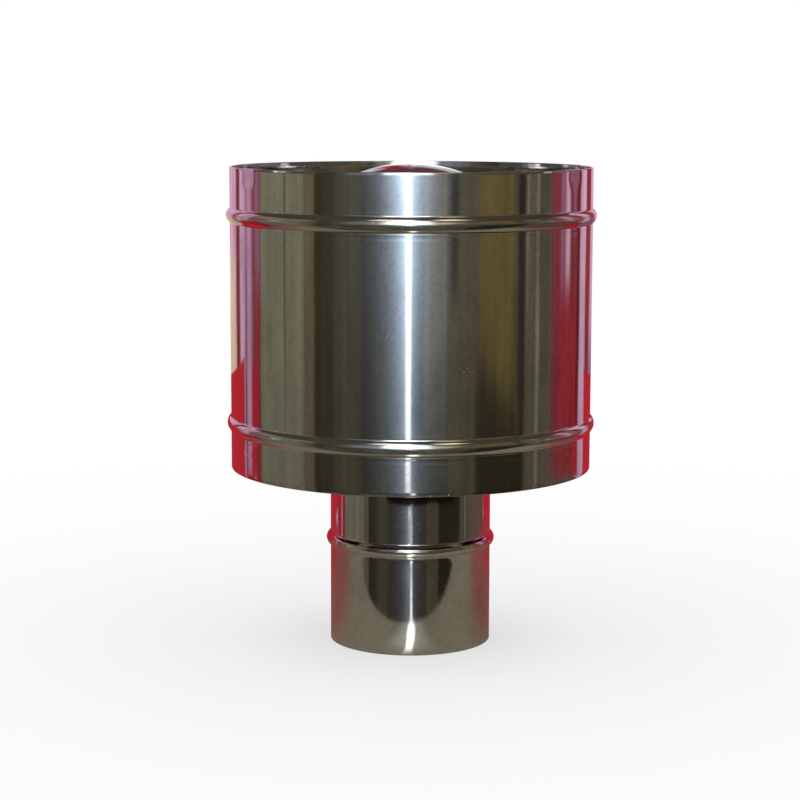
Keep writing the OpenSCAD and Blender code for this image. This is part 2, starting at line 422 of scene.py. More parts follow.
    @classmethod
    def press(cls, piece: Object, place: Vector, move: Vector, reach: float) -> None:
        """Presses a soft dent into a sheet, through both of its faces.

        Args:
            piece: The sheet's piece.
            place: Middle of the dent, in millimetres.
            move: How far and which way its middle moves.
            reach: Radius over which the dent dies away.
        """
        away = np.linalg.norm(cls.read(piece, "co") / MM - np.array(place), axis=1)
        cls.pick(piece, away < max(cls.press_core, away.min() + cls.press_margin))
        bpy.ops.transform.translate(
            value=move * MM,
            use_proportional_edit=True,
            proportional_edit_falloff="SMOOTH",
            proportional_size=reach * MM,
        )
        cls.clear()

    @classmethod
    def cut(cls, piece: Object, point: Sequence[float], outwards: Sequence[float]) -> None:
        """Cuts a piece at a plane, drops what lies beyond it and closes the cut.

        Args:
            piece: The piece.
            point: A point of the plane, in millimetres.
            outwards: The plane's normal, towards what is dropped.
        """
        cls.pick(piece, np.ones(len(piece.data.vertices), bool))
        bpy.ops.mesh.bisect(
            plane_co=Vector(point) * MM,
            plane_no=outwards,
            use_fill=True,
            clear_outer=True,
            threshold=MM * AXIS_TOLERANCE,
        )
        cls.clear()

    @classmethod
    def soften(cls, piece: Object, width: float, segments: int = 2) -> None:
        """Bevels a piece's sharp edges.

        Args:
            piece: The piece.
            width: Width of the bevel.
            segments: Faces across the bevel.
        """
        cls.take(piece)
        bevel = piece.modifiers.new("softened_edges", "BEVEL")
        bevel.width = width * MM
        bevel.segments = segments
        bevel.limit_method = "ANGLE"
        bevel.angle_limit = math.radians(cls.sharpest_unbevelled)
        bpy.ops.object.modifier_apply(modifier=bevel.name)

    @classmethod
    def weld_line(cls, piece: Object, seam: "Seam", columns: int) -> None:
        """Raises a lengthwise weld on the outside of a rolled sheet.

        Args:
            piece: The rolled sheet.
            seam: The weld.
            columns: Columns of faces that the sheet was rolled with.
        """
        column = round(seam.bearing * columns / FULL_TURN) * FULL_TURN / columns
        cls.pick(piece, cls.off_bearing(piece, column) < cls.column_tolerance)
        bpy.ops.mesh.bevel(offset=seam.width / 2 * MM, segments=seam.segments, affect="EDGES")
        cls.clear()
        spots, normals = cls.read(piece, "co"), cls.read(piece, "normal")
        radius = np.hypot(spots[:, 0], spots[:, 1])
        outside = (normals[:, :2] * spots[:, :2]).sum(axis=1) > 0
        crest = (cls.off_bearing(piece, column) < cls.crest_tolerance) & outside
        cls.pick(piece, crest & (radius > radius.max() * cls.wall_share))
        turn, rise = math.radians(column), seam.rise * MM
        bpy.ops.transform.translate(value=(math.cos(turn) * rise, math.sin(turn) * rise, 0))
        cls.clear()

    @classmethod
    def off_bearing(cls, piece: Object, bearing: float) -> np.ndarray:
        """How far each vertex is from a bearing.

        Args:
            piece: The piece.
            bearing: The bearing from +X, in degrees.

        Returns:
            The differences, in degrees.
        """
        spots = cls.read(piece, "co")
        found = np.degrees(np.arctan2(spots[:, 1], spots[:, 0]))
        return np.abs((found - bearing + HALF_TURN) % FULL_TURN - HALF_TURN)

    @classmethod
    def polish(cls, piece: Object) -> None:
        """Shades a piece smooth, except at its sharp edges.

        Args:
            piece: The piece.
        """
        cls.take(piece)
        bpy.ops.object.shade_smooth_by_angle(angle=math.radians(cls.sharpest_smooth))
        cls.clear()


@dataclass(frozen=True)
class Seam:
    """A sheet's lengthwise weld: its bearing from +X in degrees, its width and its rise."""

    bearing: float
    width: float
    rise: float
    segments: int = 4


# Shader effects and finishes


class Value:
    """What a node gives. Sums with it are written as usual, and make Math nodes."""

    def __init__(self, graph: "Graph", socket: NodeSocket) -> None:
        """Keeps the output and the graph that it is in."""
        self.graph = graph
        self.socket = socket

    def math(self, operation: str, *others: "Value | float") -> "Value":
        """Result of a Math node that takes this value first, and then the others."""
        feeds = dict(enumerate((self, *others)))
        return self.graph.value("ShaderNodeMath", feeds, operation=operation)

    def __add__(self, other: "Value | float") -> "Value":
        """Sum."""
        return self.math("ADD", other)

    def __sub__(self, other: "Value | float") -> "Value":
        """Difference."""
        return self.math("SUBTRACT", other)

    def __rsub__(self, other: float) -> "Value":
        """Difference from a number."""
        return self.graph.value("ShaderNodeMath", {0: other, 1: self}, operation="SUBTRACT")

    def __mul__(self, other: "Value | float") -> "Value":
        """Product."""
        return self.math("MULTIPLY", other)

    def __truediv__(self, other: "Value | float") -> "Value":
        """Quotient."""
        return self.math("DIVIDE", other)

    def __abs__(self) -> "Value":
        """Size without its sign."""
        return self.math("ABSOLUTE")

    def ramp(self, low: "Value | float", high: "Value | float", smooth: bool = True) -> "Value":
        """Rise from 0 where the value is low to 1 where it is high.

        Args:
            low: Where the rise starts.
            high: Where it ends.
            smooth: Whether it eases in and out.

        Returns:
            The rise.
        """
        kind = "SMOOTHSTEP" if smooth else "LINEAR"
        feeds = {0: self, 1: low, 2: high}
        return self.graph.value("ShaderNodeMapRange", feeds, interpolation_type=kind)

    def parts(self) -> "list[Value]":
        """The three parts of a vector."""
        node = self.graph.add("ShaderNodeSeparateXYZ", {0: self})
        return [Value(self.graph, socket) for socket in node.outputs]

    def stretched(self, factors: Spot) -> "Value":
        """A vector with each of its parts multiplied."""
        feeds = {0: self, 1: factors}
        return self.graph.value("ShaderNodeVectorMath", feeds, operation="MULTIPLY")

    def bump(self) -> "Value":
        """Normal of the surface, for a height in metres."""
        return self.graph.value("ShaderNodeBump", {"Height": self, "Distance": 1.0, "Strength": 1.0})


Feed = Value | float | Sequence[float]


class Graph:
    """A node tree while it is being wired."""

    def __init__(self, tree: NodeTree) -> None:
        """Starts from the tree as it is."""
        self.tree = tree

    @classmethod
    def blank(cls, owner: Material | World) -> "Graph":
        """Starts the tree of a material or a world without nodes.

        Args:
            owner: The material or world.

        Returns:
            Its graph.
        """
        owner.use_nodes = True
        owner.node_tree.nodes.clear()
        return cls(owner.node_tree)

    def add(self, kind: str, feeds: dict[str | int, Feed] | None = None, **settings: object) -> Node:
        """Adds a node.

        Args:
            kind: The node's type.
            feeds: What each of its sockets takes, by their names or places.
            settings: The node's own settings.

        Returns:
            The node.
        """
        node = self.tree.nodes.new(kind)
        for name, value in settings.items():
            setattr(node, name, value)
        for name, value in (feeds or {}).items():
            self.feed(node.inputs[name], value)
        return node

    def feed(self, socket: NodeSocket, value: Feed) -> None:
        """Links a socket to a value, or sets it to a constant.

        Args:
            socket: The socket.
            value: What it takes. A colour comes without its alpha.
        """
        if isinstance(value, Value):
            self.tree.links.new(value.socket, socket)
        elif socket.type == "RGBA":
            socket.default_value = (*value, 1)
        else:
            socket.default_value = value

    def value(self, kind: str, feeds: dict[str | int, Feed] | None = None, **settings: object) -> Value:
        """Adds a node as add does, and gives its first output."""
        return Value(self, self.add(kind, feeds, **settings).outputs[0])

    def where(self) -> Value:
        """Place on the object, in metres."""
        return Value(self, self.add("ShaderNodeTexCoord").outputs["Object"])

    def scaled(self, vector: Feed, factor: Feed) -> Value:
        """A vector or colour times a number."""
        feeds = {0: vector, "Scale": factor}
        return self.value("ShaderNodeVectorMath", feeds, operation="SCALE")

    def blend(self, share: Feed, first: Feed, second: Feed) -> Value:
        """Colour between two others.

        Args:
            share: Share of the second.
            first: The first colour.
            second: The second colour.

        Returns:
            The mixed colour.
        """
        node = self.add("ShaderNodeMix", {0: share}, data_type="RGBA")
        self.feed(node.inputs[6], first)
        self.feed(node.inputs[7], second)
        return Value(self, node.outputs[2])

    def glow(self, colour: Feed) -> Value:
        """Light of a colour, at full strength."""
        return self.value("ShaderNodeEmission", {"Color": colour, "Strength": 1.0})


@dataclass(frozen=True)
class Pattern:
    """A noise texture, and how it is read.

    It is stretched by factors along the axes, shows between two of its values, and is scaled to
    its strength.
    """

    scale: float
    detail: float = 2.0
    roughness: float = 0.5
    stretch: Spot | None = None
    shows: Point | None = None
    strength: float = 1.0

    def over(self, where: Value) -> Value:
        """Reads the pattern.

        Args:
            where: Where it is read.

        Returns:
            Its value, from 0 to about its strength.
        """
        spot = where.stretched(self.stretch) if self.stretch else where
        sizes = {"Scale": self.scale, "Detail": self.detail, "Roughness": self.roughness}
        found = where.graph.value("ShaderNodeTexNoise", {"Vector": spot, **sizes})
        if self.shows:
            found = found.ramp(*self.shows)
        return found if self.strength == 1.0 else found * self.strength


def effect(takes: str, gives: str) -> Callable[[Callable], Callable]:
    """Makes a recipe a shader effect: a node group, built once and placed wherever it is called.

    Args:
        takes: Names of the group's inputs. Only Vector is a vector, and the rest are numbers.
        gives: Names of its outputs.

    Returns:
        What turns the recipe into a function that places the group.
    """

    def decorate(recipe: Callable) -> Callable:
        """Turns one recipe into an effect.

        Args:
            recipe: Takes the group's inputs and returns its outputs.

        Returns:
            A function that takes what the inputs are fed with and returns the outputs.
        """

        @cache
        def group() -> NodeTree:
            """Builds the node group.

            Returns:
                The group.
            """
            tree = bpy.data.node_groups.new(recipe.__name__, "ShaderNodeTree")
            for side, names in (("INPUT", takes), ("OUTPUT", gives)):
                for name in names.split():
                    kind = "NodeSocketVector" if name == "Vector" else "NodeSocketFloat"
                    tree.interface.new_socket(name, in_out=side, socket_type=kind)
            graph = Graph(tree)
            inputs = graph.add("NodeGroupInput").outputs
            made = recipe(*(Value(graph, inputs[name]) for name in takes.split()))
            outputs = made if isinstance(made, tuple) else (made,)
            graph.add("NodeGroupOutput", dict(zip(gives.split(), outputs)))
            return tree

        @wraps(recipe)
        def place(first: Value, *others: Value | float) -> Value | tuple[Value, ...]:
            """Places the group.

            Args:
                first: What its first input is fed with, in the graph that it is placed in.
                others: What its other inputs are fed with, in order.

            Returns:
                Its output, or its outputs if it has several.
            """
            feeds = dict(enumerate((first, *others)))
            node = first.graph.add("ShaderNodeGroup", feeds, node_tree=group())
            outputs = tuple(Value(first.graph, socket) for socket in node.outputs)
            return outputs if len(outputs) > 1 else outputs[0]

        return place

    return decorate


def bearing_and_radius(x: Value, y: Value) -> tuple[Value, Value]:
    """Bearing of a place round the axis, in radians from +X, and its distance from the axis."""
    return y.math("ARCTAN2", x), (x * x + y * y).math("SQRT")


@effect("Vector Spread", "Lines")
def polishing_lines(where: Value, spread: Value) -> Value:
    """Fine lines that polishing leaves round the sheet.

    Args:
        where: Place on the object.
        spread: How close the lines lie.

    Returns:
        Their height, 0 to 1.
    """
    round_scale = 9.0
    coarse = Pattern(1.0, 3.0, 0.6, strength=0.6)
    fine = Pattern(1.0, 2.0, 0.7, stretch=(4.0, 4.0, 3.7), strength=0.4)
    x, y, z = where.parts()
    feeds = {0: x * round_scale, 1: y * round_scale, 2: z * spread}
    drawn_out = where.graph.value("ShaderNodeCombineXYZ", feeds)
    return coarse.over(drawn_out) + fine.over(drawn_out)


@effect("Vector Scale Amount", "Marks")
def handling_marks(where: Value, scale: Value, amount: Value) -> Value:
    """Faint smears from handling.

    Args:
        where: Place on the object.
        scale: Scale of the smears.
        amount: How much of them shows.

    Returns:
        Their mask, 0 to 1.
    """
    patches = Pattern(1.0, 4.0, 0.65, shows=(0.5, 0.72))
    smears = Pattern(1.3, 5.0, 0.7, stretch=(1.6, 1.6, 6.0), shows=(0.35, 0.75))
    spot = where.graph.scaled(where, scale)
    return patches.over(spot) * smears.over(spot) * amount


@effect("Vector Scale Amount", "Specks")
def dust_specks(where: Value, scale: Value, amount: Value) -> Value:
    """Sparse specks of dust and dried drops, in loose clusters.

    Args:
        where: Place on the object.
        scale: Scale of the cells that a speck can lie in.
        amount: Share of the cells with a speck.

    Returns:
        Their mask, 0 or 1.
    """
    largest = 0.16
    clusters = Pattern(14.0, shows=(0.42, 0.62))
    graph = where.graph
    cells = graph.add("ShaderNodeTexVoronoi", {"Vector": where, "Scale": scale})
    colour = Value(graph, cells.outputs["Color"])
    chances = graph.add("ShaderNodeSeparateColor", {0: colour}).outputs
    size = Value(graph, chances[2]) * largest
    speck = Value(graph, cells.outputs["Distance"]).math("LESS_THAN", size)
    there = amount.math("GREATER_THAN", Value(graph, chances[0]))
    return speck * there * clusters.over(where)


@effect("Vector Height Pitch Size", "Dimple Heat")
def spot_welds(where: Value, height: Value, pitch: Value, size: Value) -> tuple[Value, Value]:
    """Pairs of spot welds at the three brackets.

    Args:
        where: Place on the object.
        height: Their height.
        pitch: Distance between the two.
        size: Radius of a weld.

    Returns:
        The dimples' depth, 0 to 1, and the mask of the heat's ring round them.
    """
    third = math.tau / 3
    dimple_fades, heat_fades = (0.55, 1.1), (1.2, 2.6)
    x, y, z = where.parts()
    bearing, radius = bearing_and_radius(x, y)
    # Counted so that each bracket stands in the middle of a third of a turn
    ahead = bearing + (third / 2 - math.pi / 2 + math.tau)
    off = ahead.math("FLOORED_MODULO", third) - third / 2
    u = abs(off) * radius - pitch * 0.5
    v = z - height
    share = (u * u + v * v).math("SQRT") / size
    return 1.0 - share.ramp(*dimple_fades), 1.0 - share.ramp(*heat_fades)


@effect("Vector Bearing Width", "Tint Weld")
def seam_heat(where: Value, bearing: Value, width: Value) -> tuple[Value, Value]:
    """Straw and blue tint beside a lengthwise weld.

    Args:
        where: Place on the object.
        bearing: The weld's bearing, in radians from +X.
        width: Width of the weld and what it heats most.

    Returns:
        The tint's mask, and the mask of the weld itself.
    """
    tint_fades, weld_fades = (0.8, 3.2), (0.35, 0.6)
    x, y, _ = where.parts()
    found, radius = bearing_and_radius(x, y)
    off = (found - bearing + math.pi).math("FLOORED_MODULO", math.tau) - math.pi
    share = abs(off) * radius / width
    return 1.0 - share.ramp(*tint_fades), 1.0 - share.ramp(*weld_fades)


@effect("Vector Edge Width", "Wear")
def edge_wear(where: Value, edge: Value, width: Value) -> Value:
    """Rubbed metal near an edge or a bead.

    Args:
        where: Place on the object.
        edge: Height of the edge.
        width: How far the wear reaches.

    Returns:
        Its mask, 0 to 1.
    """
    ragged, fades = Pattern(160.0, 3.0, strength=0.7), (0.4, 1.2)
    _, _, z = where.parts()
    away = abs(z - edge) / width + ragged.over(where)
    return 1.0 - away.ramp(*fades)


@effect("Bearing Height Left Right Low High Across Up", "Share")
def card_mask(
    bearing: Value, height: Value,
    left: Value, right: Value, low: Value, high: Value, across: Value, up: Value,
) -> Value:
    """Share of a soft-edged card in what is seen at a bearing and a height.

    Args:
        bearing: The bearing.
        height: The height.
        left: The card's least bearing.
        right: Its greatest bearing.
        low: Its least height.
        high: Its greatest height.
        across: Softness of its sides.
        up: Softness of its lower and upper edges.

    Returns:
        The share, 0 to 1.
    """
    beside = bearing.ramp(left - across, left + across) - bearing.ramp(right - across, right + across)
    return beside * (height.ramp(low - up, low + up) - height.ramp(high - up, high + up))


@dataclass(frozen=True)
class Steel:
    """What the finishes share: a name, the record's slot and the colour of dust."""

    name: str
    slot: str
    dust: ClassVar[Colour] = (0.78, 0.77, 0.74)

    def sockets(self, where: Value) -> dict[str, Feed]:
        """What the finish feeds the shader's sockets with, by their names."""
        raise NotImplementedError

    @cache
    def material(self) -> Material:
        """Builds the finish, once.

        Returns:
            The material.
        """
        made = bpy.data.materials.new(self.name)
        made.use_nodes = True
        graph = Graph(made.node_tree)
        shader = made.node_tree.nodes["Principled BSDF"]
        for name, value in self.sockets(graph.where()).items():
            graph.feed(shader.inputs[name], value)
        return made


@dataclass(frozen=True)
class SheetSteel(Steel):
    """Mirror-finished stainless sheet, as rolled into the cowl's shells. Lengths are in metres."""

    slot: str = "mirror_steel"
    colour: Colour = (0.68, 0.67, 0.64)
    dulled: Colour = (0.55, 0.545, 0.52)
    rubbed: Colour = (0.66, 0.65, 0.62)
    smudge: Colour = (0.38, 0.37, 0.35)
    heat: Colour = (0.50, 0.42, 0.30)
    roughness: float = 0.065
    line_roughness: float = 0.02
    mark_roughness: float = 0.05
    seam_roughness: float = 0.2
    dust_roughness: float = 0.5
    anisotropy: float = 0.4
    highlight_turn: float = 0.25
    line_spread: float = 2600.0
    line_depth: float = 0.000004
    mark_scale: float = 11.0
    mark_amount: float = 0.8
    mark_share: float = 0.25
    dust_scale: float = 330.0
    dust_amount: float = 0.3
    dust_share: float = 0.75
    clouds: Pattern = Pattern(26.0, 5.0, 0.62, (1, 1, 0.6), (0.46, 0.72), 0.38)
    mottle: Pattern = Pattern(280.0, 3.0, 0.7, None, (0.44, 0.74), 0.28)
    grain: Pattern = Pattern(700.0, 1.0, strength=0.000004)
    waves: Pattern = Pattern(17.0, 2.0, 0.35, (1, 1, 0.35))
    wave_depth: float = 0.0
    edge: float = 0.0
    edge_width: float = 0.0012
    bead_heights: tuple[float, ...] = ()
    bead_width: float = 0.0055
    bead_scuff: float = 0.09
    weld_heights: tuple[float, ...] = ()
    weld_pitch: float = 0.012
    weld_size: float = 0.0024
    weld_depth: float = 0.00002
    weld_tint: float = 0.08
    seam_bearing: float | None = None
    seam_width: float = 0.003
    seam_tint: float = 0.3
    seam_depth: float = 0.00008
    seam_ripple: Pattern = Pattern(1.0, 1.0, stretch=(60, 60, 900))
    dusty_spot: Spot | None = None
    dusty_reach: Point = (0.004, 0.018)
    drop_scale: float = 520.0
    drop_size: float = 0.13
    drop_scatter: Pattern = Pattern(900.0, 1.0)

    def drops(self, where: Value) -> Value:
        """Dried drops round the dusty spot.

        Args:
            where: Place on the object.

        Returns:
            Their mask, 0 or 1.
        """
        graph = where.graph
        node = graph.add("ShaderNodeVectorMath", {0: where, 1: self.dusty_spot}, operation="DISTANCE")
        near = 1.0 - Value(graph, node.outputs["Value"]).ramp(*self.dusty_reach)
        more = near.math("GREATER_THAN", self.drop_scatter.over(where))
        cells = graph.value("ShaderNodeTexVoronoi", {"Vector": where, "Scale": self.drop_scale})
        return cells.math("LESS_THAN", self.drop_size) * more

    def sockets(self, where: Value) -> dict[str, Feed]:
        """What the finish feeds the shader's sockets with.

        Args:
            where: Place on the object.

        Returns:
            The feeds by the sockets' names.
        """
        graph = where.graph
        lines = polishing_lines(where, self.line_spread)
        marks = handling_marks(where, self.mark_scale, self.mark_amount)
        specks = dust_specks(where, self.dust_scale, self.dust_amount)
        cloudy = self.clouds.over(where) + self.mottle.over(where)
        colour = graph.blend(marks * self.mark_share, self.colour, self.dulled)
        colour = graph.blend(cloudy, colour, self.smudge)
        colour = graph.blend(edge_wear(where, self.edge, self.edge_width), colour, self.rubbed)
        roughness = lines * self.line_roughness + self.roughness + marks * self.mark_roughness
        height = lines * self.line_depth + self.grain.over(where)
        if self.wave_depth:
            height += self.waves.over(where) * self.wave_depth
        for bead_height in self.bead_heights:
            roughness += edge_wear(where, bead_height, self.bead_width) * self.bead_scuff
        for weld_height in self.weld_heights:
            dimple, heat = spot_welds(where, weld_height, self.weld_pitch, self.weld_size)
            height -= dimple * self.weld_depth
            colour = graph.blend(heat * self.weld_tint, colour, self.heat)
        if self.seam_bearing is not None:
            tint, weld = seam_heat(where, math.radians(self.seam_bearing), self.seam_width)
            colour = graph.blend(tint * self.seam_tint, colour, self.heat)
            height += weld * self.seam_ripple.over(where) * self.seam_depth
            roughness += weld * self.seam_roughness
        if self.dusty_spot is not None:
            specks = specks.math("MAXIMUM", self.drops(where))
        dusty = graph.value("ShaderNodeMix", {0: specks, 2: roughness, 3: self.dust_roughness})
        return {
            "Base Color": graph.blend(specks * self.dust_share, colour, self.dust),
            "Roughness": dusty,
            "Normal": height.bump(),
            "Tangent": graph.value("ShaderNodeTangent", direction_type="RADIAL", axis="Z"),
            "Metallic": 1.0,
            "Anisotropic": self.anisotropy,
            "Anisotropic Rotation": self.highlight_turn,
        }


@dataclass(frozen=True)
class SmallSteel(Steel):
    """Steel of the small fittings: bright strip, satin rivets and dull wire."""

    colour: Colour
    worn: Colour
    roughness: float
    line_spread: float
    line_depth: float = 0.00001
    line_roughness: float = 0.1
    mark_roughness: float = 0.08
    mark_scale: float = 40.0
    dust_scale: float = 420.0
    dust_amount: float = 0.25
    dust_share: float = 0.6

    def sockets(self, where: Value) -> dict[str, Feed]:
        """What the finish feeds the shader's sockets with.

        Args:
            where: Place on the object.

        Returns:
            The feeds by the sockets' names.
        """
        lines = polishing_lines(where, self.line_spread)
        marks = handling_marks(where, self.mark_scale, 1.0)
        specks = dust_specks(where, self.dust_scale, self.dust_amount)
        colour = where.graph.blend(marks, self.colour, self.worn)
        return {
            "Base Color": where.graph.blend(specks * self.dust_share, colour, self.dust),
            "Roughness": lines * self.line_roughness + self.roughness + marks * self.mark_roughness,
            "Normal": (lines * self.line_depth).bump(),
            "Metallic": 1.0,
        }


STRIP_STEEL = SmallSteel(
    "strip_steel", "strip_steel", (0.72, 0.71, 0.69), (0.62, 0.61, 0.58), 0.15, 1800.0
)
RIVET_STEEL = SmallSteel(
    "rivet_steel", "rivet_steel", (0.70, 0.69, 0.67), (0.60, 0.58, 0.55), 0.25, 900.0
)
MANDREL_STEEL = SmallSteel(
    "mandrel_steel", "mandrel_steel", (0.40, 0.39, 0.37), (0.30, 0.28, 0.25), 0.37, 900.0, 0.00002
)


# Sub-assemblies, with their sizes in millimetres


def turned(degrees: float, axis: str = "Z") -> Matrix:
    """Turn round an axis."""
    return Matrix.Rotation(math.radians(degrees), 4, axis)


class Place(Enum):
    """Bearings of the three brackets of a set, in degrees from +X; the front is at 270."""

    FRONT_LEFT = 210.0
    FRONT_RIGHT = 330.0
    REAR = 90.0


class Part:
    """A sub-assembly: it builds its pieces, and then dresses them in its finish."""

    finish: Steel

    def build(self) -> dict[str, Object]:
        """Models the pieces, and gives them by the names of the CAD nodes that they stand for."""
        raise NotImplementedError

    def dress(self, pieces: dict[str, Object]) -> None:
        """Gives each piece its finish and its place in the frame."""
        for node, piece in pieces.items():
            self.hand_over(piece, node, self.finish)

    @staticmethod
    def hand_over(piece: Object, node: str, finish: Steel) -> None:
        """Dresses a finished piece and sets it in the frame in place of its CAD node.

        Args:
            piece: The piece.
            node: Name of the CAD node that it stands for.
            finish: Its finish.
        """
        piece.data.materials.clear()
        piece.data.materials.append(finish.material())
        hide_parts(node)
        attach(piece, "root")


@dataclass(kw_only=True)
class Shell(Part):
    """A sub-assembly of one rolled sheet."""

    piece_name: ClassVar[str]
    node: ClassVar[str]
    sheet: float = 0.5
    columns: int = 240
    seam: Seam | None = None

    def path(self) -> list[Point]:
        """Path along a face of the sheet, with the metal on its left."""
        raise NotImplementedError

    def work(self, piece: Object) -> None:
        """Works the rolled sheet: raises its lengthwise weld, if it has one."""
        if self.seam:
            Bench.weld_line(piece, self.seam, self.columns)

    def build(self) -> dict[str, Object]:
        """Rolls the sheet and works it.

        Returns:
            The piece by the name of the CAD node that it stands for.
        """
        piece = Bench.roll(self.piece_name, thickened(self.path(), self.sheet), self.columns)
        self.work(piece)
        Bench.polish(piece)
        return {self.node: piece}


@dataclass(kw_only=True)
class Drum(Shell):
    """The open drum: one rolled sheet with two beads and a hem at each edge."""

    piece_name: ClassVar[str] = "rolled_drum"
    node: ClassVar[str] = "outer_shell"
    radius: float = 125.0
    height: float = 208.0
    foot: float = 123.0
    upper_bead_inset: float = 33.0
    lower_bead_inset: float = 31.5
    upper_weld_inset: float = 9.0
    lower_weld_inset: float = 17.0
    bead: Bead = Bead(
        2.6, 5.9, 1.6,
        below=((0.45, 0.020), (0.8, 0.030), (1.3, 0.022), (2.0, 0.006), (2.8, 0.0),
               (4.0, 0.0), (4.6, 0.006), (5.1, 0.008), (5.8, 0.004), (6.6, 0.0)),
        above=((0.5, 0.008), (1.0, 0.012), (1.8, 0.004), (2.6, 0.0)),
    )
    hem: Hem = Hem()
    lower_step: float = 3.0
    middle_step: float = 14.0
    upper_step: float = 2.0
    columns: int = 320
    seam: Seam = Seam(94.0, 1.6, 0.12)
    pucker_below_rim: float = 4.0
    pucker_depth: float = 0.35
    pucker_reach: float = 11.0
    dusty_spot: Spot = (0.034, -0.120, 0.208)

    @property
    def top(self) -> float:
        """Height of the drum's upper edge."""
        return self.foot + self.height

    @property
    def beads(self) -> Point:
        """Heights of the middles of its two beads, the lower one first."""
        return (self.foot + self.lower_bead_inset, self.top - self.upper_bead_inset)

    def path(self) -> list[Point]:
        """Path along the sheet's outer face.

        Returns:
            The points, from the lower hem to the upper one.
        """
        r, fold, (low, high) = self.radius, self.hem.fold, self.beads
        (low_start, low_end), (high_start, high_end) = self.bead.span(low), self.bead.span(high)
        return chained(
            self.hem.path(r, self.foot),
            straight((r, self.foot + fold), (r, low_start), self.lower_step),
            self.bead.path(r, low),
            straight((r, low_end), (r, high_start), self.middle_step),
            self.bead.path(r, high),
            straight((r, high_end), (r, self.top - fold), self.upper_step),
            self.hem.path(r, self.top, upper=True),
        )

    def pucker(self, piece: Object, bearing: float) -> None:
        """Presses in the sheet or strip where a bracket's foot is welded under the rim.

        Args:
            piece: The sheet's or the strip's piece.
            bearing: The foot's bearing from +X, in degrees.
        """
        turn = math.radians(bearing)
        outwards = Vector((math.cos(turn), math.sin(turn), 0))
        middle = outwards * self.radius + Vector((0, 0, self.top - self.pucker_below_rim))
        Bench.press(piece, middle, -outwards * self.pucker_depth, self.pucker_reach)

    def work(self, piece: Object) -> None:
        """Puckers the rolled sheet over the brackets' feet, and raises its weld.

        Args:
            piece: The rolled sheet.
        """
        for place in Place:
            self.pucker(piece, place.value)
        super().work(piece)

    @property
    def finish(self) -> Steel:
        """The drum's steel, with its beads, spot welds, lengthwise weld and dust.

        Returns:
            The finish.
        """
        return SheetSteel(
            "drum_steel",
            edge=self.top * MM,
            wave_depth=0.00012,
            bead_heights=tuple(height * MM for height in self.beads),
            weld_heights=(
                (self.top - self.upper_weld_inset) * MM, (self.foot + self.lower_weld_inset) * MM
            ),
            seam_bearing=self.seam.bearing,
            dusty_spot=self.dusty_spot,
        )


@dataclass(kw_only=True)
class FluePipe(Shell):
    """The pipe, whose lower stretch is the spigot below its bead."""

    piece_name: ClassVar[str] = "flue_pipe"
    node: ClassVar[str] = "inlet_pipe"
    radius: float = 56.0
    top: float = 175.0
    bead_middle: float = 72.0
    bead: Bead = Bead(
        2.8, 4.6, 1.5,
        below=((1.2, -0.03), (2.4, -0.052), (3.4, -0.06), (5.0, -0.056), (12.0, -0.03), (24.0, 0.0)),
        above=((1.0, 0.008), (2.0, 0.0)),
    )
    step: float = 8.0
    seam: Seam = Seam(80.0, 1.4, 0.1)
    dusty_spot: Spot = (-0.002, -0.056, 0.092)

    def path(self) -> list[Point]:
        """Path along the sheet's outer face.

        Returns:
            The points, from the lower edge to the upper one.
        """
        r, (start, end) = self.radius, self.bead.span(self.bead_middle)
        return chained(
            straight((r, 0.0), (r, start), self.step),
            self.bead.path(r, self.bead_middle),
            straight((r, end), (r, self.top), self.step),
        )

    @property
    def finish(self) -> Steel:
        """The pipe's steel, with its bead, weld and dust.

        Returns:
            The finish.
        """
        return SheetSteel(
            "pipe_steel",
            edge_width=0.0009,
            wave_depth=0.00004,
            bead_heights=(self.bead_middle * MM,),
            bead_scuff=0.05,
            seam_bearing=self.seam.bearing,
            dusty_spot=self.dusty_spot,
        )


@dataclass(kw_only=True)
class Diffuser(Shell):
    """The flare over the pipe's upper end, with its hem folded outwards."""

    piece_name: ClassVar[str] = "flared_diffuser"
    node: ClassVar[str] = "diffuser"
    pipe: FluePipe
    lap_gap: float = 0.1
    collar: float = 18.0
    flare: float = 68.0
    mouth_radius: float = 73.0
    bend: float = 4.0
    hem: Hem = Hem()
    rubbed_edge: float = 243.7

    def path(self) -> list[Point]:
        """Path along the sheet's inner face.

        Returns:
            The points, from the hem's leaf over the mouth to the collar's lower edge.
        """
        collar_radius = self.pipe.radius + self.lap_gap
        foot = (collar_radius, self.pipe.top + self.lap_gap)
        mouth = (self.mouth_radius, foot[1] + self.flare)
        along, rise = direction(foot, mouth), bearing_of(foot, mouth)
        right = (along[1], -along[0])
        centre = onward(mouth, right, self.hem.fold)
        leaf = onward(onward(centre, right, self.hem.fold), along, -self.hem.depth)
        collar_foot = (collar_radius, self.pipe.top - self.collar)
        return chained(
            [leaf],
            arc(centre, self.hem.fold, rise - QUARTER_TURN, rise + QUARTER_TURN, self.hem.steps),
            bent([mouth, foot, collar_foot], self.bend),
        )

    @property
    def finish(self) -> Steel:
        """The diffuser's steel."""
        return SheetSteel("diffuser_steel", edge=self.rubbed_edge * MM, wave_depth=0.00005)


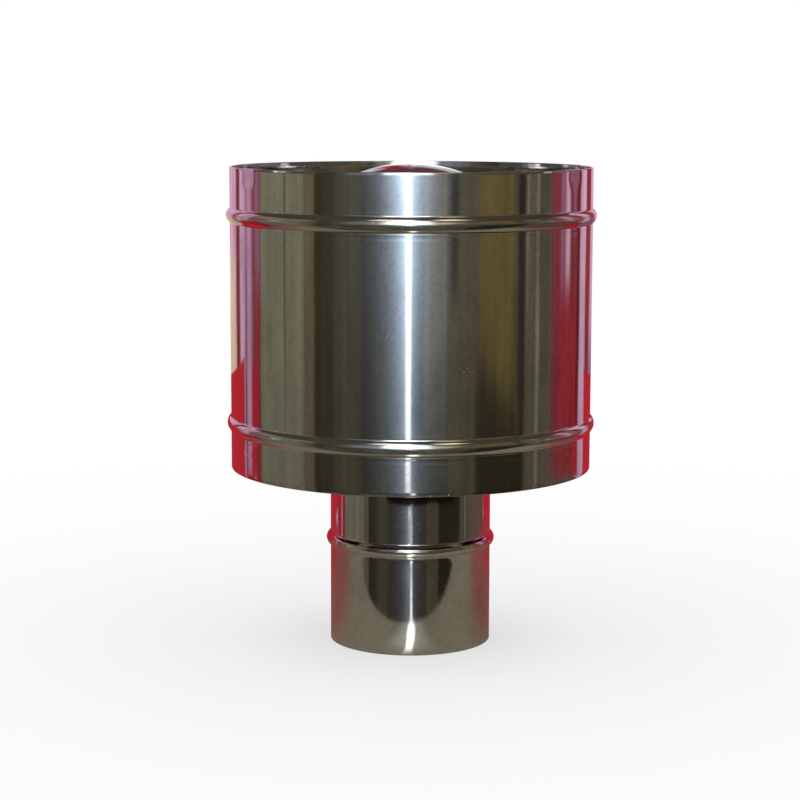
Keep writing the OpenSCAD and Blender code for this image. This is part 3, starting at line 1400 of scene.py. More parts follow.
@dataclass(kw_only=True)
class RainCap(Shell):
    """The cap: a domed crown, a straight flank and a turned-down lip."""

    piece_name: ClassVar[str] = "domed_cap"
    node: ClassVar[str] = "rain_cap"
    drum_top: float
    radius: float = 93.0
    crown_rise: float = 2.0
    crown: float = 104.0
    crown_steps: int = 16
    slope: float = 20.0
    lip: float = 7.0
    lip_bend: float = 2.0
    hem: Hem = Hem()
    columns: int = 288
    rubbed_edge: float = 298.8

    @property
    def crown_centre(self) -> Point:
        """Centre of the crown's sphere."""
        return (0.0, self.drum_top + self.crown_rise - self.crown)

    def on_flank(self, radius: float, height: float) -> Point:
        """A point over the cap's flank.

        Args:
            radius: Radius of its foot on the cap's upper face.
            height: Its height above that face, along the normal.

        Returns:
            The point.
        """
        lean = math.radians(self.slope)
        edge_r = self.crown * math.sin(lean)
        edge_z = self.crown_centre[1] + self.crown * math.cos(lean)
        return (
            radius + height * math.sin(lean),
            edge_z - (radius - edge_r) * math.tan(lean) + height * math.cos(lean),
        )

    def path(self) -> list[Point]:
        """Path along the sheet's outer face.

        Returns:
            The points, from the hem to the crown's middle.
        """
        edge = self.on_flank(self.radius, 0)
        crown_edge = self.on_flank(self.crown * math.sin(math.radians(self.slope)), 0)
        foot = edge[1] - self.lip
        return chained(
            self.hem.path(self.radius, foot),
            bent([(self.radius, foot + self.hem.fold), edge, crown_edge], self.lip_bend),
            arc(self.crown_centre, self.crown, QUARTER_TURN - self.slope, QUARTER_TURN, self.crown_steps),
        )

    @property
    def finish(self) -> Steel:
        """The cap's steel."""
        return SheetSteel("cap_steel", edge=self.rubbed_edge * MM, wave_depth=0.00006)


@dataclass(kw_only=True)
class DeflectorCone(Shell):
    """The cone under the cap, which points down the flue."""

    piece_name: ClassVar[str] = "inner_cone"
    node: ClassVar[str] = "deflector_cone"
    cap: RainCap
    flange_inset: float = 9.0
    flange: float = 16.0
    depth: float = 52.0
    bend: float = 3.0
    lap_gap: float = 0.1
    columns: int = 220
    rubbed_edge: float = 261.9

    def path(self) -> list[Point]:
        """Path along the sheet's lower face.

        Returns:
            The points, from the cone's tip to its flange.
        """
        outer = self.cap.radius - self.flange_inset
        drop = -2 * self.sheet - self.lap_gap
        corner = self.cap.on_flank(outer - self.flange, drop)
        tip = (0.0, corner[1] - self.depth)
        return bent([tip, corner, self.cap.on_flank(outer, drop)], self.bend)

    @property
    def finish(self) -> Steel:
        """The cone's steel."""
        return SheetSteel("cone_steel", edge=self.rubbed_edge * MM, wave_depth=0.00006)


@dataclass
class Brackets(Part):
    """The strips that carry the drum on the pipe and the cap in the drum."""

    finish: ClassVar[Steel] = STRIP_STEEL
    drum: Drum
    pipe: FluePipe
    cap: RainCap
    strip: float = 1.0
    lap_gap: float = 0.1
    bend: float = 2.5
    upper_width: float = 30.0
    lower_width: float = 25.0
    upper_foot: float = 17.0
    lower_foot: float = 18.0
    web_rise: float = 1.0
    cap_seat: float = 18.0
    seat_radius: float = 76.0
    clipped: float = 2.5
    softened: float = 0.18
    half_sweep: float = 24.0
    columns: int = 24

    @property
    def web(self) -> float:
        """Height of the lower brackets' undersides."""
        return self.drum.foot + self.drum.hem.depth + self.web_rise

    def lower_path(self) -> list[Point]:
        """Path along a lower bracket's outer faces.

        Returns:
            The points, from the foot on the pipe to the foot in the drum.
        """
        inner = self.pipe.radius + self.lap_gap
        outer = self.drum.radius - self.drum.sheet - self.lap_gap
        top = self.web + self.lower_foot
        return bent([(inner, top), (inner, self.web), (outer, self.web), (outer, top)], self.bend)

    def upper_path(self) -> list[Point]:
        """Path along an upper bracket's outer faces.

        Returns:
            The points, from the seat on the cap to the foot in the drum.
        """
        reach = self.cap_seat / 2 * math.cos(math.radians(self.cap.slope))
        foot = self.drum.radius - 2 * self.drum.hem.fold - self.lap_gap
        seat = [self.cap.on_flank(self.seat_radius + off, self.lap_gap) for off in (-reach, reach)]
        return bent([*seat, (foot, self.drum.top - self.upper_foot), (foot, self.drum.top)], self.bend)

    def strip_piece(self, name: str, path: list[Point], width: float) -> Object:
        """Models a strip at bearing 0: bent, rolled to its neighbours and cut to its width.

        Args:
            name: Name of the piece.
            path: Path along its outer faces.
            width: Its width.

        Returns:
            The piece.
        """
        piece = Bench.draw(name, thickened(path, self.strip))
        Bench.spin(piece, self.columns, 2 * self.half_sweep)
        for side in (1, -1):
            Bench.cut(piece, (0, side * width / 2, 0), (0, side, 0))
        return piece

    def clip(self, piece: Object, end: Point, out: Point, width: float) -> None:
        """Clips the two corners at one end of a strip.

        Args:
            piece: The strip's piece, at bearing 0.
            end: The strip's end.
            out: Direction in which the strip ends there.
            width: Width of the strip.
        """
        for side in (1, -1):
            point = (end[0], side * (width / 2 - self.clipped), end[1])
            Bench.cut(piece, point, (out[0], side, out[1]))

    def build(self) -> dict[str, Object]:
        """Models the six brackets.

        Returns:
            The pieces by the names of the CAD nodes that they stand for.
        """
        low_path, high_path = self.lower_path(), self.upper_path()
        lower = self.strip_piece("lower_strap", low_path, self.lower_width)
        # Both feet end at one height, so the same two cuts clip them both
        self.clip(lower, low_path[0], (0, 1), self.lower_width)
        upper = self.strip_piece("upper_strap", high_path, self.upper_width)
        self.clip(upper, high_path[-1], (0, 1), self.upper_width)
        self.clip(upper, high_path[0], direction(high_path[1], high_path[0]), self.upper_width)
        self.drum.pucker(upper, 0.0)
        made = {}
        for kind, first in (("lower", lower), ("upper", upper)):
            Bench.soften(first, self.softened)
            for place in Place:
                tail = place.name.lower()
                strap = Bench.set_out(f"{kind}_strap_{tail}", first, [turned(place.value)])
                made[f"{kind}_bracket_{tail}"] = strap
            bpy.data.objects.remove(first)
        for piece in made.values():
            Bench.polish(piece)
        return made


@dataclass
class BlindRivets(Part):
    """Set blind rivets, and the stubs of their mandrels."""

    brackets: Brackets
    shank: float = 1.6
    shank_end_share: float = 0.96
    shank_swell: float = 0.1
    head: float = 3.25
    head_height: float = 0.9
    head_edge: float = 0.12
    rim_share: float = 0.3
    dome_inset: float = 0.35
    dome_steps: int = 6
    bore_edge: float = 0.1
    tail: float = 2.35
    tail_height: float = 2.2
    tail_edge: float = 0.15
    tail_round: float = 0.7
    tail_round_drop: float = 0.8
    tail_round_from: float = -40.0
    tail_round_steps: int = 4
    stem: float = 0.9
    ball_drop: float = 0.3
    ball_steps: int = 8
    snap_edge: float = 0.15
    snap_share: float = 0.8
    snap_dip: float = 0.1
    gap: float = 0.05
    pitch: float = 13.0
    collar_height: float = 166.0
    collar_count: int = 4
    columns: int = 32

    @property
    def tail_seat(self) -> float:
        """How far a flat tail stands off inside the pipe."""
        return self.gap + self.tail**2 / (2 * self.brackets.pipe.radius)

    def rivet_outline(self, grip: float) -> list[Point]:
        """Section of a set rivet whose head stands on height 0.

        Args:
            grip: Thickness of what it holds.

        Returns:
            The section's outline.
        """
        bore, swollen = self.stem + self.gap, self.shank + self.shank_swell
        top = -grip - self.tail_seat
        end = top - self.tail_height
        flat, rim, rise = bore + self.dome_inset, self.rim_share, self.head_height
        dome = [
            (flat + (self.head - flat) * out, rise * (rim + (1 - rim) * up))
            for out, up in arc((0.0, 0.0), 1.0, 0.0, QUARTER_TURN, self.dome_steps)
        ]
        rounding = (self.tail - self.tail_round, top - self.tail_round_drop)
        return chained(
            [(bore, end), (self.shank * self.shank_end_share, end), (swollen, end + self.tail_edge)],
            arc(rounding, self.tail_round, self.tail_round_from, 0.0, self.tail_round_steps),
            [(self.tail, top - self.tail_edge), (self.tail - self.tail_edge, top)],
            [(self.shank, top), (self.shank, 0.0)],
            [(self.head - self.head_edge, 0.0), (self.head, self.head_edge)],
            dome,
            [(bore + self.bore_edge, rise), (bore, rise - self.head_edge)],
        )

    def mandrel_outline(self, grip: float) -> list[Point]:
        """Section of what stays of a mandrel.

        Args:
            grip: Thickness of what its rivet holds.

        Returns:
            The section's outline, from the axis to the axis.
        """
        top = -grip - self.tail_seat - self.tail_height - self.gap
        ball = self.shank - self.gap
        snapped = self.head_height / 2
        return chained(
            arc((0.0, top - self.ball_drop), ball, -QUARTER_TURN, 0.0, self.ball_steps),
            [(ball, top), (self.stem, top), (self.stem, snapped - self.snap_edge)],
            [(self.stem * self.snap_share, snapped), (0.0, snapped - self.snap_dip)],
        )

    def standing(self, bearing: float, foot: Point, lean: float) -> Matrix:
        """Place of a rivet: its bearing, its head's radius and height, and its lean outwards."""
        move = Matrix.Translation(Vector((foot[0], 0, foot[1])) * MM)
        return turned(bearing) @ move @ turned(lean, "Y")

    def pairs(self, radius: float, foot: Point, lean: float) -> dict[str, list[Matrix]]:
        """Places of the two rivets of each bracket of a set.

        Args:
            radius: Radius at which the two are set out.
            foot: Radius and height at which their heads stand.
            lean: How far they lean outwards from upright, in degrees.

        Returns:
            The places by the tails of their names.
        """
        off = math.degrees(math.asin(self.pitch / 2 / radius))
        return {
            f"_{place.name.lower()}": [
                self.standing(place.value + side * off, foot, lean) for side in (-1, 1)
            ]
            for place in Place
        }

    def build(self) -> dict[str, Object]:
        """Models every rivet and mandrel.

        Returns:
            The pieces by the names of the CAD nodes that they stand for, rivets first.
        """
        brackets, pipe, cap = self.brackets, self.brackets.pipe, self.brackets.cap
        sheet, strip, lap_gap = brackets.drum.sheet, brackets.strip, brackets.lap_gap
        pipe_face = pipe.radius + lap_gap
        lower_foot = (pipe_face + strip, brackets.web + (brackets.lower_foot + brackets.bend) / 2)
        upper_foot = cap.on_flank(brackets.seat_radius, lap_gap + strip)
        collar_foot = (pipe_face + sheet, self.collar_height)
        collar_bearings = [i * FULL_TURN / self.collar_count for i in range(self.collar_count)]
        collar = [self.standing(bearing, collar_foot, QUARTER_TURN) for bearing in collar_bearings]
        kinds = {
            "lower": (strip + lap_gap + sheet, self.pairs(pipe.radius, lower_foot, QUARTER_TURN)),
            "upper": (
                strip + 2 * (lap_gap + sheet), self.pairs(brackets.seat_radius, upper_foot, cap.slope)
            ),
            "collar": (2 * sheet + lap_gap, {"": collar}),
        }
        rivets, mandrels = {}, {}
        for kind, (grip, places) in kinds.items():
            rivet = Bench.roll("rivet", self.rivet_outline(grip), self.columns)
            mandrel = Bench.roll("mandrel", self.mandrel_outline(grip), self.columns)
            for tail, matrices in places.items():
                name = f"{kind}_blind_rivets{tail}"
                rivets[f"{kind}_rivets{tail}"] = Bench.set_out(name, rivet, matrices)
            everywhere = [matrix for matrices in places.values() for matrix in matrices]
            stubs = Bench.set_out(f"{kind}_mandrel_stubs", mandrel, everywhere)
            mandrels[f"{kind}_rivet_mandrels"] = stubs
            for first in (rivet, mandrel):
                bpy.data.objects.remove(first)
        for piece in (*rivets.values(), *mandrels.values()):
            Bench.polish(piece)
        return {**rivets, **mandrels}

    def dress(self, pieces: dict[str, Object]) -> None:
        """Gives rivets and mandrels their finishes and their places in the frame."""
        for node, piece in pieces.items():
            self.hand_over(piece, node, MANDREL_STEEL if node.endswith("mandrels") else RIVET_STEEL)


# The studio


class Tone(Enum):
    """Colours of the cards that the steel reflects, as linear light."""

    ROOM = (0.055, 0.048, 0.036)
    CEILING = (0.07, 0.06, 0.045)
    ZENITH = (0.55, 0.50, 0.55)
    COUNTER = (0.16, 0.145, 0.105)
    BLACK = (0.035, 0.030, 0.020)
    # Painted shadow: near-black, standing in for the drum's shadow over the lamp haze on the pipe's top
    DRUM_SHADOW = (0.005, 0.004, 0.002)
    SMOKE = (0.085, 0.078, 0.068)
    OLIVE = (0.225, 0.210, 0.150)
    POST = (0.05, 0.04, 0.02)
    BROWN = (0.09, 0.08, 0.055)
    DUSK = (0.16, 0.16, 0.20)
    PUTTY = (0.17, 0.155, 0.125)
    TWEED = (0.155, 0.135, 0.085)
    TERRA = (0.17, 0.115, 0.09)
    PLUM = (0.14, 0.055, 0.09)
    UMBER = (0.11, 0.095, 0.06)
    KHAKI = (0.16, 0.13, 0.09)
    OCHRE = (0.16, 0.12, 0.045)
    MAROON = (0.05, 0.03, 0.025)
    OXBLOOD = (0.17, 0.02, 0.035)
    SHELF = (0.25, 0.23, 0.18)
    TAUPE = (0.13, 0.11, 0.085)
    WINE = (0.26, 0.045, 0.07)
    RED = (0.52, 0.025, 0.04)
    CLARET = (0.36, 0.035, 0.045)
    ROSE = (0.36, 0.14, 0.21)
    MALLOW = (0.78, 0.48, 0.68)
    MAUVE = (0.46, 0.22, 0.38)
    LILAC = (0.62, 0.34, 0.52)
    PINK = (0.74, 0.42, 0.58)
    BEIGE = (0.86, 0.64, 0.50)
    SILVER = (0.62, 0.64, 0.68)
    PALE = (1.25, 1.22, 1.18)
    WINDOW = (1.65, 1.68, 1.7)
    CREAM = (1.6, 1.48, 1.18)
    SAND = (0.62, 0.54, 0.34)
    YELLOW = (1.6, 1.4, 0.85)
    LAMP = (2.2, 2.2, 2.2)
    TUBE = (1.35, 1.4, 1.45)


@dataclass(frozen=True)
class Card:
    """A card on the studio's dome.

    Bearings are counted in degrees from the camera's side, to the right of it positive, and
    heights in degrees above the horizon.
    """

    tone: Tone
    bearings: Point
    heights: Point = (-60.0, 30.0)
    soft_across: float = 1.0
    soft_up: float = 3.0


@dataclass(frozen=True)
class Plate:
    """A small upright card near the object: its middle, its width and height, and how it leans.

    A positive lean, in degrees, drops its right end.
    """

    name: str
    tone: Tone
    middle: Spot
    size: Point
    lean: float = 0.0


@dataclass(frozen=True)
class Lamp:
    """A soft round lamp over the cowl: its place, its power in watts and its size."""

    name: str
    spot: Spot
    power: float
    size: float = 1.2


@dataclass(frozen=True)
class Glare:
    """Lamp haze that dies away to both sides of a bearing and downwards from a height."""

    colour: Colour = (1.75, 2.25, 2.95)
    bearing: float = -3.0
    reach: float = 7.0
    height: float = -1.5
    fade: float = 4.8
    ceiling: Point = (50.0, 66.0)


@dataclass(frozen=True)
class BenchTop:
    """The bench as the steel reflects it: its colours from front to back, and a lamp's shine on it.

    Lengths are in metres. The shine has a bright core in a fainter halo. It slants a little
    across the bench, and narrows and dies away towards the back.
    """

    front: float = -0.147
    half_width: float = 0.38
    depth: float = 0.5
    turn: float = -6.0
    drop: float = 0.0004
    mottle: Pattern = Pattern(6.0, 3.0)
    darker: Colour = (0.19, 0.17, 0.125)
    paler: Colour = (0.24, 0.215, 0.16)
    reddish: Colour = (0.26, 0.095, 0.085)
    reddens: Point = (-0.055, 0.05)
    red: Colour = (0.38, 0.045, 0.055)
    turns_red: Point = (0.08, 0.24)
    shine: Colour = (3.0, 3.0, 2.9)
    shine_slant: float = 0.083
    shine_aside: float = 0.0077
    shine_core: float = 0.002
    shine_reach: float = 0.013
    shine_narrowing: float = 0.0065
    shine_narrows: Point = (-0.13, -0.075)
    shine_at_front: float = 0.8
    shine_rises: Point = (-0.147, -0.125)
    shine_dies: Point = (-0.1, -0.056)
    halo: Colour = (0.60, 0.62, 0.58)
    halo_reach: float = 0.045
    halo_share: float = 0.6

    def painted(self, graph: Graph) -> Value:
        """Colour of the bench top's light.

        Args:
            graph: The material's graph.

        Returns:
            The colour.
        """
        where = graph.where()
        x, y, _ = where.parts()
        aside = abs(x + (y * self.shine_slant + self.shine_aside))
        near = 1.0 - y.ramp(*self.shine_dies)
        rising = y.ramp(*self.shine_rises) * (1 - self.shine_at_front) + self.shine_at_front
        reach = self.shine_reach - y.ramp(*self.shine_narrows) * self.shine_narrowing
        core = (1.0 - aside.ramp(self.shine_core, reach)) * near * rising
        halo = (1.0 - aside.ramp(self.shine_core, self.halo_reach)) * near
        colour = graph.blend(self.mottle.over(where), self.darker, self.paler)
        colour = graph.blend(y.ramp(*self.reddens), colour, self.reddish)
        colour = graph.blend(y.ramp(*self.turns_red), colour, self.red)
        colour = graph.blend(halo * self.halo_share, colour, self.halo)
        return graph.blend(core, colour, self.shine)

    def build(self) -> Object:
        """Lays the bench card.

        Returns:
            The card.
        """
        bpy.ops.mesh.primitive_plane_add(size=1)
        bench = reflected_card("bench_card", self.painted, sampled=False)
        bench.scale = (2 * self.half_width, self.depth, 1)
        bench.rotation_euler.z = math.radians(self.turn)
        bench.location = (0, self.front + self.depth / 2, -self.drop)
        bpy.ops.object.transform_apply(location=True, rotation=True, scale=True)
        return bench


def reflected_card(name: str, painted: Callable[[Graph], Feed], sampled: bool = True) -> Object:
    """Makes the new primitive a glowing card that only reflections see.

    Args:
        name: Its name.
        painted: Makes the colour of its light in its material's graph.
        sampled: Whether the renderer may aim for it as it does for lamps.

    Returns:
        The card.
    """
    card = bpy.context.object
    card.name = name
    made = bpy.data.materials.new(name)
    graph = Graph.blank(made)
    graph.add("ShaderNodeOutputMaterial", {"Surface": graph.glow(painted(graph))})
    if not sampled:
        made.cycles.emission_sampling = "NONE"
    card.data.materials.append(made)
    for ray in ("camera", "diffuse", "shadow", "transmission", "volume_scatter"):
        setattr(card, f"visible_{ray}", False)
    return card


@dataclass
class Studio:
    """Floor, lamps and the dome of cards. None of it is part of the cowl. Lengths are in metres."""

    dome_radius: float = 12.0
    dome_height: float = 0.2
    round_columns: int = 96
    dome_rings: int = 48
    floor_radius: float = 0.9
    floor_drop: float = 0.0002
    floor_fades: Point = (0.25, 0.95)
    floor_tone: Colour = (0.96, 0.96, 0.96)
    floor_glow: Colour = (0.98, 0.98, 0.98)
    floor_glow_share: float = 0.55
    lamps: tuple[Lamp, ...] = (
        Lamp("left_softbox", (-1.4, -1.0, 1.9), 1.2),
        Lamp("right_softbox", (1.6, -0.5, 1.7), 0.8),
    )
    lit_spot: Spot = (0, 0, 0.15)
    bench: BenchTop = BenchTop()
    plates: tuple[Plate, ...] = (
        # Near-black plates under the drum's front, seen only in the pipe: a painted shadow of the drum
        # over the lamp haze there
        Plate("drum_shadow_flag", Tone.DRUM_SHADOW, (-0.004, -0.135, 0.0943), (0.132, 0.0116)),
        Plate("drum_shadow_flag_end", Tone.DRUM_SHADOW, (0.147, -0.135, 0.0818), (0.172, 0.0116), 8.1),
        Plate("red_card", Tone.RED, (-0.0475, 0.16, 0.1025), (0.635, 0.125)),
    )
    glare: Glare = Glare()
    sway: Pattern = Pattern(1.0, stretch=(0.06, 0.28, 0))
    sway_reach: float = 2.4
    stripes: Pattern = Pattern(1.0, 3.0, 0.6, (0.55, 0.015, 0), strength=1.1)
    patches: Pattern = Pattern(1.0, 3.0, 0.6, (0.13, 0.4, 0))
    texture_base: float = 0.05
    dimmed_below: Point = (-14.0, -2.0)
    dimmed_to: float = 0.65
    cards: tuple[Card, ...] = (
        # Ahead, from left to right
        Card(Tone.COUNTER, (-60, 60), (-95, -17), 8, 2),
        Card(Tone.OLIVE, (-109, -69.5), soft_across=1.2),
        Card(Tone.BLACK, (-85.6, -84.6), (-8, 30), 0.4),
        Card(Tone.TWEED, (-69.5, -62), soft_across=1.5),
        Card(Tone.POST, (-61.5, -57), soft_across=0.8),
        Card(Tone.BROWN, (-48, -32), soft_across=3),
        Card(Tone.DUSK, (-40, -22), (1, 34), 3, 2),
        Card(Tone.PUTTY, (8, 23), (-9, 30), 1.5),
        Card(Tone.UMBER, (23, 44), soft_across=1.5),
        Card(Tone.BLACK, (24.5, 29), (-5, 30), 1, 0.8),
        Card(Tone.KHAKI, (24, 36), (-6.8, -5.4), 2, 0.6),
        Card(Tone.BLACK, (40, 75), (-60, -7), 2, 2),
        Card(Tone.OCHRE, (43, 67), (-6.8, 30), 1.5, 0.3),
        Card(Tone.OCHRE, (48, 67), (-7.3, -6), 1.5, 0.3),
        Card(Tone.OCHRE, (54, 67), (-7.7, -6), 1.5, 0.3),
        Card(Tone.OCHRE, (60, 67), (-8.1, -6), 1.5, 0.3),
        Card(Tone.UMBER, (67.5, 71), (-8.8, 30), 1, 0.5),
        Card(Tone.MAROON, (69.5, 74.8), (-9, 30), 1.0),
        Card(Tone.UMBER, (74.8, 98), soft_across=0.6),
        Card(Tone.SHELF, (75.6, 77.6), (-5.2, 30), 0.5),
        Card(Tone.TAUPE, (78.5, 82), soft_across=0.8),
        Card(Tone.SHELF, (83.5, 86.2), soft_across=0.6),
        Card(Tone.TAUPE, (90, 99), (-60, -7)),
        # To the right and behind
        Card(Tone.WINE, (98, 181), soft_across=1.5),
        Card(Tone.CLARET, (104, 128), (-10.5, -4.8), 2, 0.6),
        Card(Tone.ROSE, (107, 112), (-4.8, 30), 0.7, 0.5),
        Card(Tone.PINK, (112.5, 117.5), (-4.5, 30), 0.8, 0.6),
        Card(Tone.ROSE, (122, 125), (-3, 30), 0.7, 0.7),
        Card(Tone.RED, (124, 181), (-32, -7.5), 1.5, 1),
        Card(Tone.ROSE, (141, 181), (-24, -3), 1.5, 1),
        Card(Tone.OXBLOOD, (127, 134), (-9, 30), 1, 0.7),
        Card(Tone.CLARET, (143, 153), (-9, 30), 1, 0.7),
        Card(Tone.PINK, (132.5, 141), (-17, 30), 1.2, 1),
        Card(Tone.MALLOW, (136.5, 143.5), (-12, 30), 1, 0.7),
        Card(Tone.PINK, (156, 181), (-6.5, 30), 2, 1),
        Card(Tone.TERRA, (94, 128), (-60, -10.5), 2, 0.3),
        Card(Tone.PINK, (129, 132), (-12.6, -11), 0.5, 0.3),
        # To the left and behind
        Card(Tone.WINE, (-181, -109)),
        Card(Tone.ROSE, (-115, -109.5), (-5, 30), 0.6, 0.7),
        Card(Tone.CLARET, (-115, -109.5), (-28, -5), 0.8, 0.7),
        Card(Tone.ROSE, (-121, -117), (-7, 30), 0.7, 0.7),
        Card(Tone.RED, (-181, -113), (-32, -7.2), 1.2, 0.4),
        Card(Tone.PINK, (-117.5, -115), (-12.6, -11), 0.5, 0.3),
        Card(Tone.PINK, (-137, -128.5), (-14, 30), 0.8, 0.6),
        Card(Tone.BEIGE, (-181, -142), (-22, 30), 2, 1),
        Card(Tone.WINE, (-145, -138.5), (-9, 30), 1, 0.8),
        Card(Tone.PINK, (-181, -144), (-4, 30), 1, 0.8),
        Card(Tone.MAUVE, (-128.5, -124.5), (-10.4, 30), 0.6, 0.5),
        Card(Tone.LILAC, (-124.8, -119.8), (-10.4, 30), 0.7, 0.5),
        Card(Tone.MAROON, (-127.8, -126.6), (-10.4, -4), 0.4, 0.5),
        # Inside the rim and over the crown
        Card(Tone.CEILING, (-181, 181), (31, 95), 1, 4),
        Card(Tone.SMOKE, (-118, -61), (0.8, 9), 1.5, 0.6),
        Card(Tone.SMOKE, (41, 90), (0.8, 9), 1.5, 0.6),
        Card(Tone.DUSK, (98, 146), (1.5, 5), 1.5, 0.6),
        Card(Tone.DUSK, (-136, -126), (1.5, 5), 1.5, 0.6),
        Card(Tone.DUSK, (-84, -79), (1.8, 5.5), 1, 0.5),
        Card(Tone.SILVER, (-90, -84), (2.2, 5.2), 0.8, 0.4),
        Card(Tone.PALE, (-95, -90.5), (2.2, 5.2), 0.6, 0.4),
        Card(Tone.SILVER, (89.5, 96.5), (2.2, 5.2), 0.8, 0.4),
        Card(Tone.SILVER, (-124, -119.5), (2, 4.5), 0.8, 0.4),
        Card(Tone.PLUM, (150, 181), (22, 60), 3, 4),
        Card(Tone.PLUM, (-181, -150), (22, 60), 3, 4),
        Card(Tone.SILVER, (-178, -169), (1.0, 22), 2, 4),
        Card(Tone.SILVER, (170, 181), (1.0, 23), 2, 4),
        Card(Tone.CLARET, (-178.4, -174.8), (13, 29), 0.8, 3),
        Card(Tone.PALE, (175.5, 181), (-3, 15), 1, 6),
        Card(Tone.PALE, (-181, -177.5), (-3, 13), 0.8, 5),
        # The lit windows and ceiling lamps over the camera
        Card(Tone.WINDOW, (-17, 13), (3, 44), 2.5, 4),
        Card(Tone.SAND, (13, 29), (10, 27), 7, 5),
        Card(Tone.ZENITH, (-181, 181), (86, 95), 1, 3),
        Card(Tone.CREAM, (-31, 1), (48, 64), 6, 3),
        Card(Tone.YELLOW, (22, 45), (49, 63), 6, 3),
        Card(Tone.LAMP, (-2.9, -0.1), (-11.3, 40), 0.6, 0.3),
        Card(Tone.TUBE, (0.2, 3.0), (-12.9, -11.8), 0.7, 0.3),
        Card(Tone.LAMP, (0.2, 3.0), (-17, -13.5), 0.7, 0.4),
    )

    def haze(self, bearing: Value, height: Value) -> Value:
        """Strength of the glare.

        Args:
            bearing: Bearing in degrees.
            height: Height in degrees.

        Returns:
            The strength, 0 to 1.
        """
        aside = abs(bearing - self.glare.bearing) / self.glare.reach
        below = (self.glare.height - height).math("MAXIMUM", 0.0) / self.glare.fade
        kept = ((aside + below) * -1.0).math("EXPONENT")
        return kept * (1.0 - height.ramp(*self.glare.ceiling))

    def painted(self, graph: Graph) -> Value:
        """Paints the cards on the dome, with the glare over them.

        Args:
            graph: The dome material's graph.

        Returns:
            The colour of their light.
        """
        degrees = math.degrees(1.0)
        way = graph.value("ShaderNodeVectorMath", {0: graph.where()}, operation="NORMALIZE")
        x, y, z = way.parts()
        bearing = x.math("ARCTAN2", y * -1.0) * degrees
        height = z.math("ARCSINE") * degrees
        spot = graph.value("ShaderNodeCombineXYZ", {0: bearing, 1: height})
        swayed = bearing + (self.sway.over(spot) - 0.5) * self.sway_reach
        colour: Feed = Tone.ROOM.value
        for card in self.cards:
            seen_at = bearing if card.tone is Tone.LAMP else swayed
            softness = (card.soft_across, card.soft_up)
            share = card_mask(seen_at, height, *card.bearings, *card.heights, *softness)
            colour = graph.blend(share, colour, card.tone.value)
        texture = self.stripes.over(spot) + self.patches.over(spot) - self.texture_base
        lit = height.ramp(*self.dimmed_below, smooth=False) * (1 - self.dimmed_to) + self.dimmed_to
        cards = graph.scaled(colour, texture * lit)
        haze = graph.scaled(self.glare.colour, self.haze(bearing, height))
        return graph.value("ShaderNodeVectorMath", {0: cards, 1: haze}, operation="ADD")

    def hang_dome(self) -> Object:
        """Hangs the dome of cards round the cowl.

        Returns:
            The dome.
        """
        bpy.ops.mesh.primitive_uv_sphere_add(
            segments=self.round_columns,
            ring_count=self.dome_rings,
            radius=self.dome_radius,
            location=(0, 0, self.dome_height),
        )
        bpy.ops.object.shade_smooth()
        return reflected_card("card_dome", self.painted, sampled=False)

    def stand_up(self, plate: Plate) -> Object:
        """Stands one small card up.

        Args:
            plate: The card.

        Returns:
            The card as an object of the stage.
        """
        bpy.ops.mesh.primitive_plane_add(size=1, location=plate.middle)
        card = reflected_card(plate.name, lambda graph: plate.tone.value)
        card.scale = (*plate.size, 1)
        card.rotation_euler = (math.radians(QUARTER_TURN), math.radians(plate.lean), 0)
        return card

    def lay_floor(self) -> Object:
        """Lays a plain pale floor that keeps the cowl's shadow and fades into the backdrop.

        Returns:
            The floor.
        """
        made = bpy.data.materials.new("pale_floor")
        graph = Graph.blank(made)
        away = graph.add("ShaderNodeVectorMath", {0: graph.where()}, operation="LENGTH")
        share = Value(graph, away.outputs["Value"]) / self.floor_radius
        fade = share.ramp(*self.floor_fades)
        matt = graph.value("ShaderNodeBsdfDiffuse", {"Color": self.floor_tone})
        glow = graph.glow(self.floor_glow)
        pale = graph.value("ShaderNodeMixShader", {0: self.floor_glow_share, 1: matt, 2: glow})
        clear = graph.value("ShaderNodeBsdfTransparent")
        mixed = graph.value("ShaderNodeMixShader", {0: fade, 1: pale, 2: clear})
        graph.add("ShaderNodeOutputMaterial", {"Surface": mixed})
        bpy.ops.mesh.primitive_circle_add(
            vertices=self.round_columns, radius=self.floor_radius, fill_type="NGON"
        )
        floor = bpy.context.object
        floor.name = "floor"
        floor.location.z = -self.floor_drop
        floor.data.materials.append(made)
        floor.visible_glossy = False
        return floor

    def light_lamps(self) -> None:
        """Hangs the soft lamps and turns them to the cowl."""
        for lamp in self.lamps:
            bpy.ops.object.light_add(type="AREA", location=lamp.spot)
            hung = bpy.context.object
            hung.name = lamp.name
            hung.data.shape = "DISK"
            hung.data.size = lamp.size
            hung.data.energy = lamp.power
            aim = Vector(self.lit_spot) - Vector(lamp.spot)
            hung.rotation_euler = aim.to_track_quat("-Z", "Y").to_euler()
            hung.visible_glossy = False

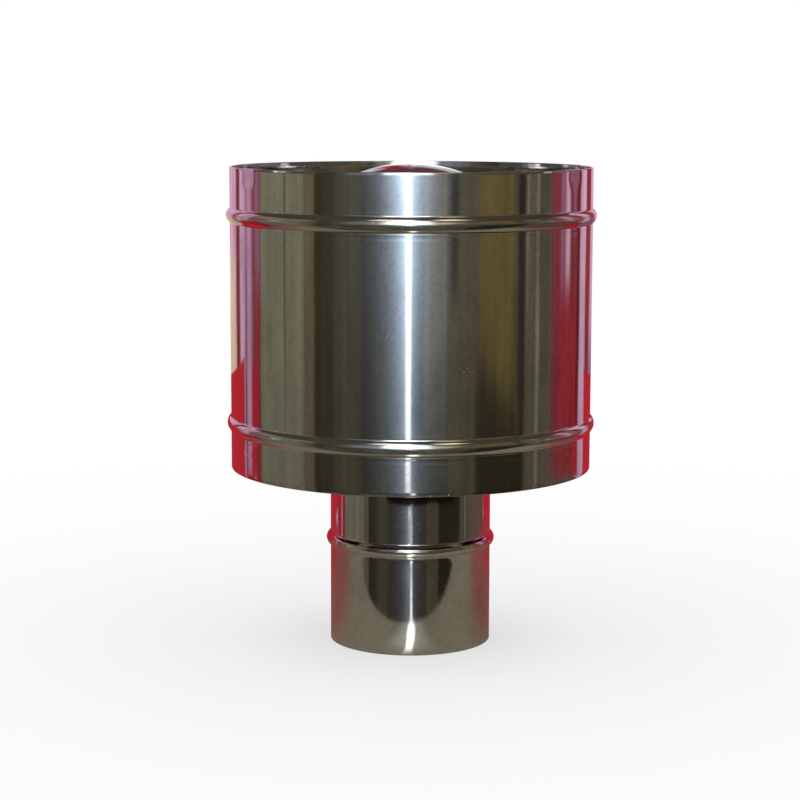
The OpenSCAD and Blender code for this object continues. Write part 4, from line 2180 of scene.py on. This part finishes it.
    def light_world(self) -> None:
        """Lights the world plain white, which is also the backdrop."""
        world = bpy.data.worlds.new("white_backdrop")
        bpy.context.scene.world = world
        graph = Graph.blank(world)
        white = graph.value("ShaderNodeBackground", {"Color": (1, 1, 1), "Strength": 1.0})
        graph.add("ShaderNodeOutputWorld", {"Surface": white})
        world.cycles.sampling_method = "NONE"

    def build(self) -> None:
        """Builds the studio."""
        Bench.clear()
        dome, bench = self.hang_dome(), self.bench.build()
        plates = [self.stand_up(plate) for plate in self.plates]
        self.lay_floor()
        self.light_lamps()
        self.light_world()


@dataclass
class Viewpoint:
    """The camera, where the photographer stood."""

    distance: float = 1.4646
    height: float = 0.37728
    lens: float = 95.29
    sensor: float = 36.0
    tilt_down: float = 0.1416
    pan: float = 0.0051
    roll: float = 0.0025
    clip: Point = (0.01, 100.0)

    def build(self) -> None:
        """Adds the camera and makes it the scene's."""
        data = bpy.data.cameras.new("viewpoint")
        data.lens = self.lens
        data.sensor_width = self.sensor
        data.clip_start, data.clip_end = self.clip
        camera = bpy.data.objects.new("viewpoint", data)
        bpy.context.scene.collection.objects.link(camera)
        turn = (
            Matrix.Rotation(self.pan, 4, "Z")
            @ Matrix.Rotation(math.radians(QUARTER_TURN) - self.tilt_down, 4, "X")
            @ Matrix.Rotation(self.roll, 4, "Z")
        )
        camera.matrix_world = Matrix.Translation((0, -self.distance, self.height)) @ turn
        bpy.context.scene.camera = camera


def main() -> None:
    """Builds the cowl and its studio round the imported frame."""
    logging.basicConfig(level=logging.INFO, format="%(name)s: %(message)s")
    bpy.context.scene.view_settings.view_transform = "Standard"
    Viewpoint().build()

    drum, pipe = Drum(), FluePipe()
    cap = RainCap(drum_top=drum.top)
    brackets = Brackets(drum, pipe, cap)
    parts: tuple[Part, ...] = (
        drum, pipe, Diffuser(pipe=pipe), cap, DeflectorCone(cap=cap), brackets, BlindRivets(brackets)
    )
    for part in parts:
        pieces = part.build()
        part.dress(pieces)
        for node, piece in pieces.items():
            log.info("%s: %d faces, stands for %s", piece.name, len(piece.data.polygons), node)

    Studio().build()
    Bench.clear()


if __name__ == "__main__":
    main()
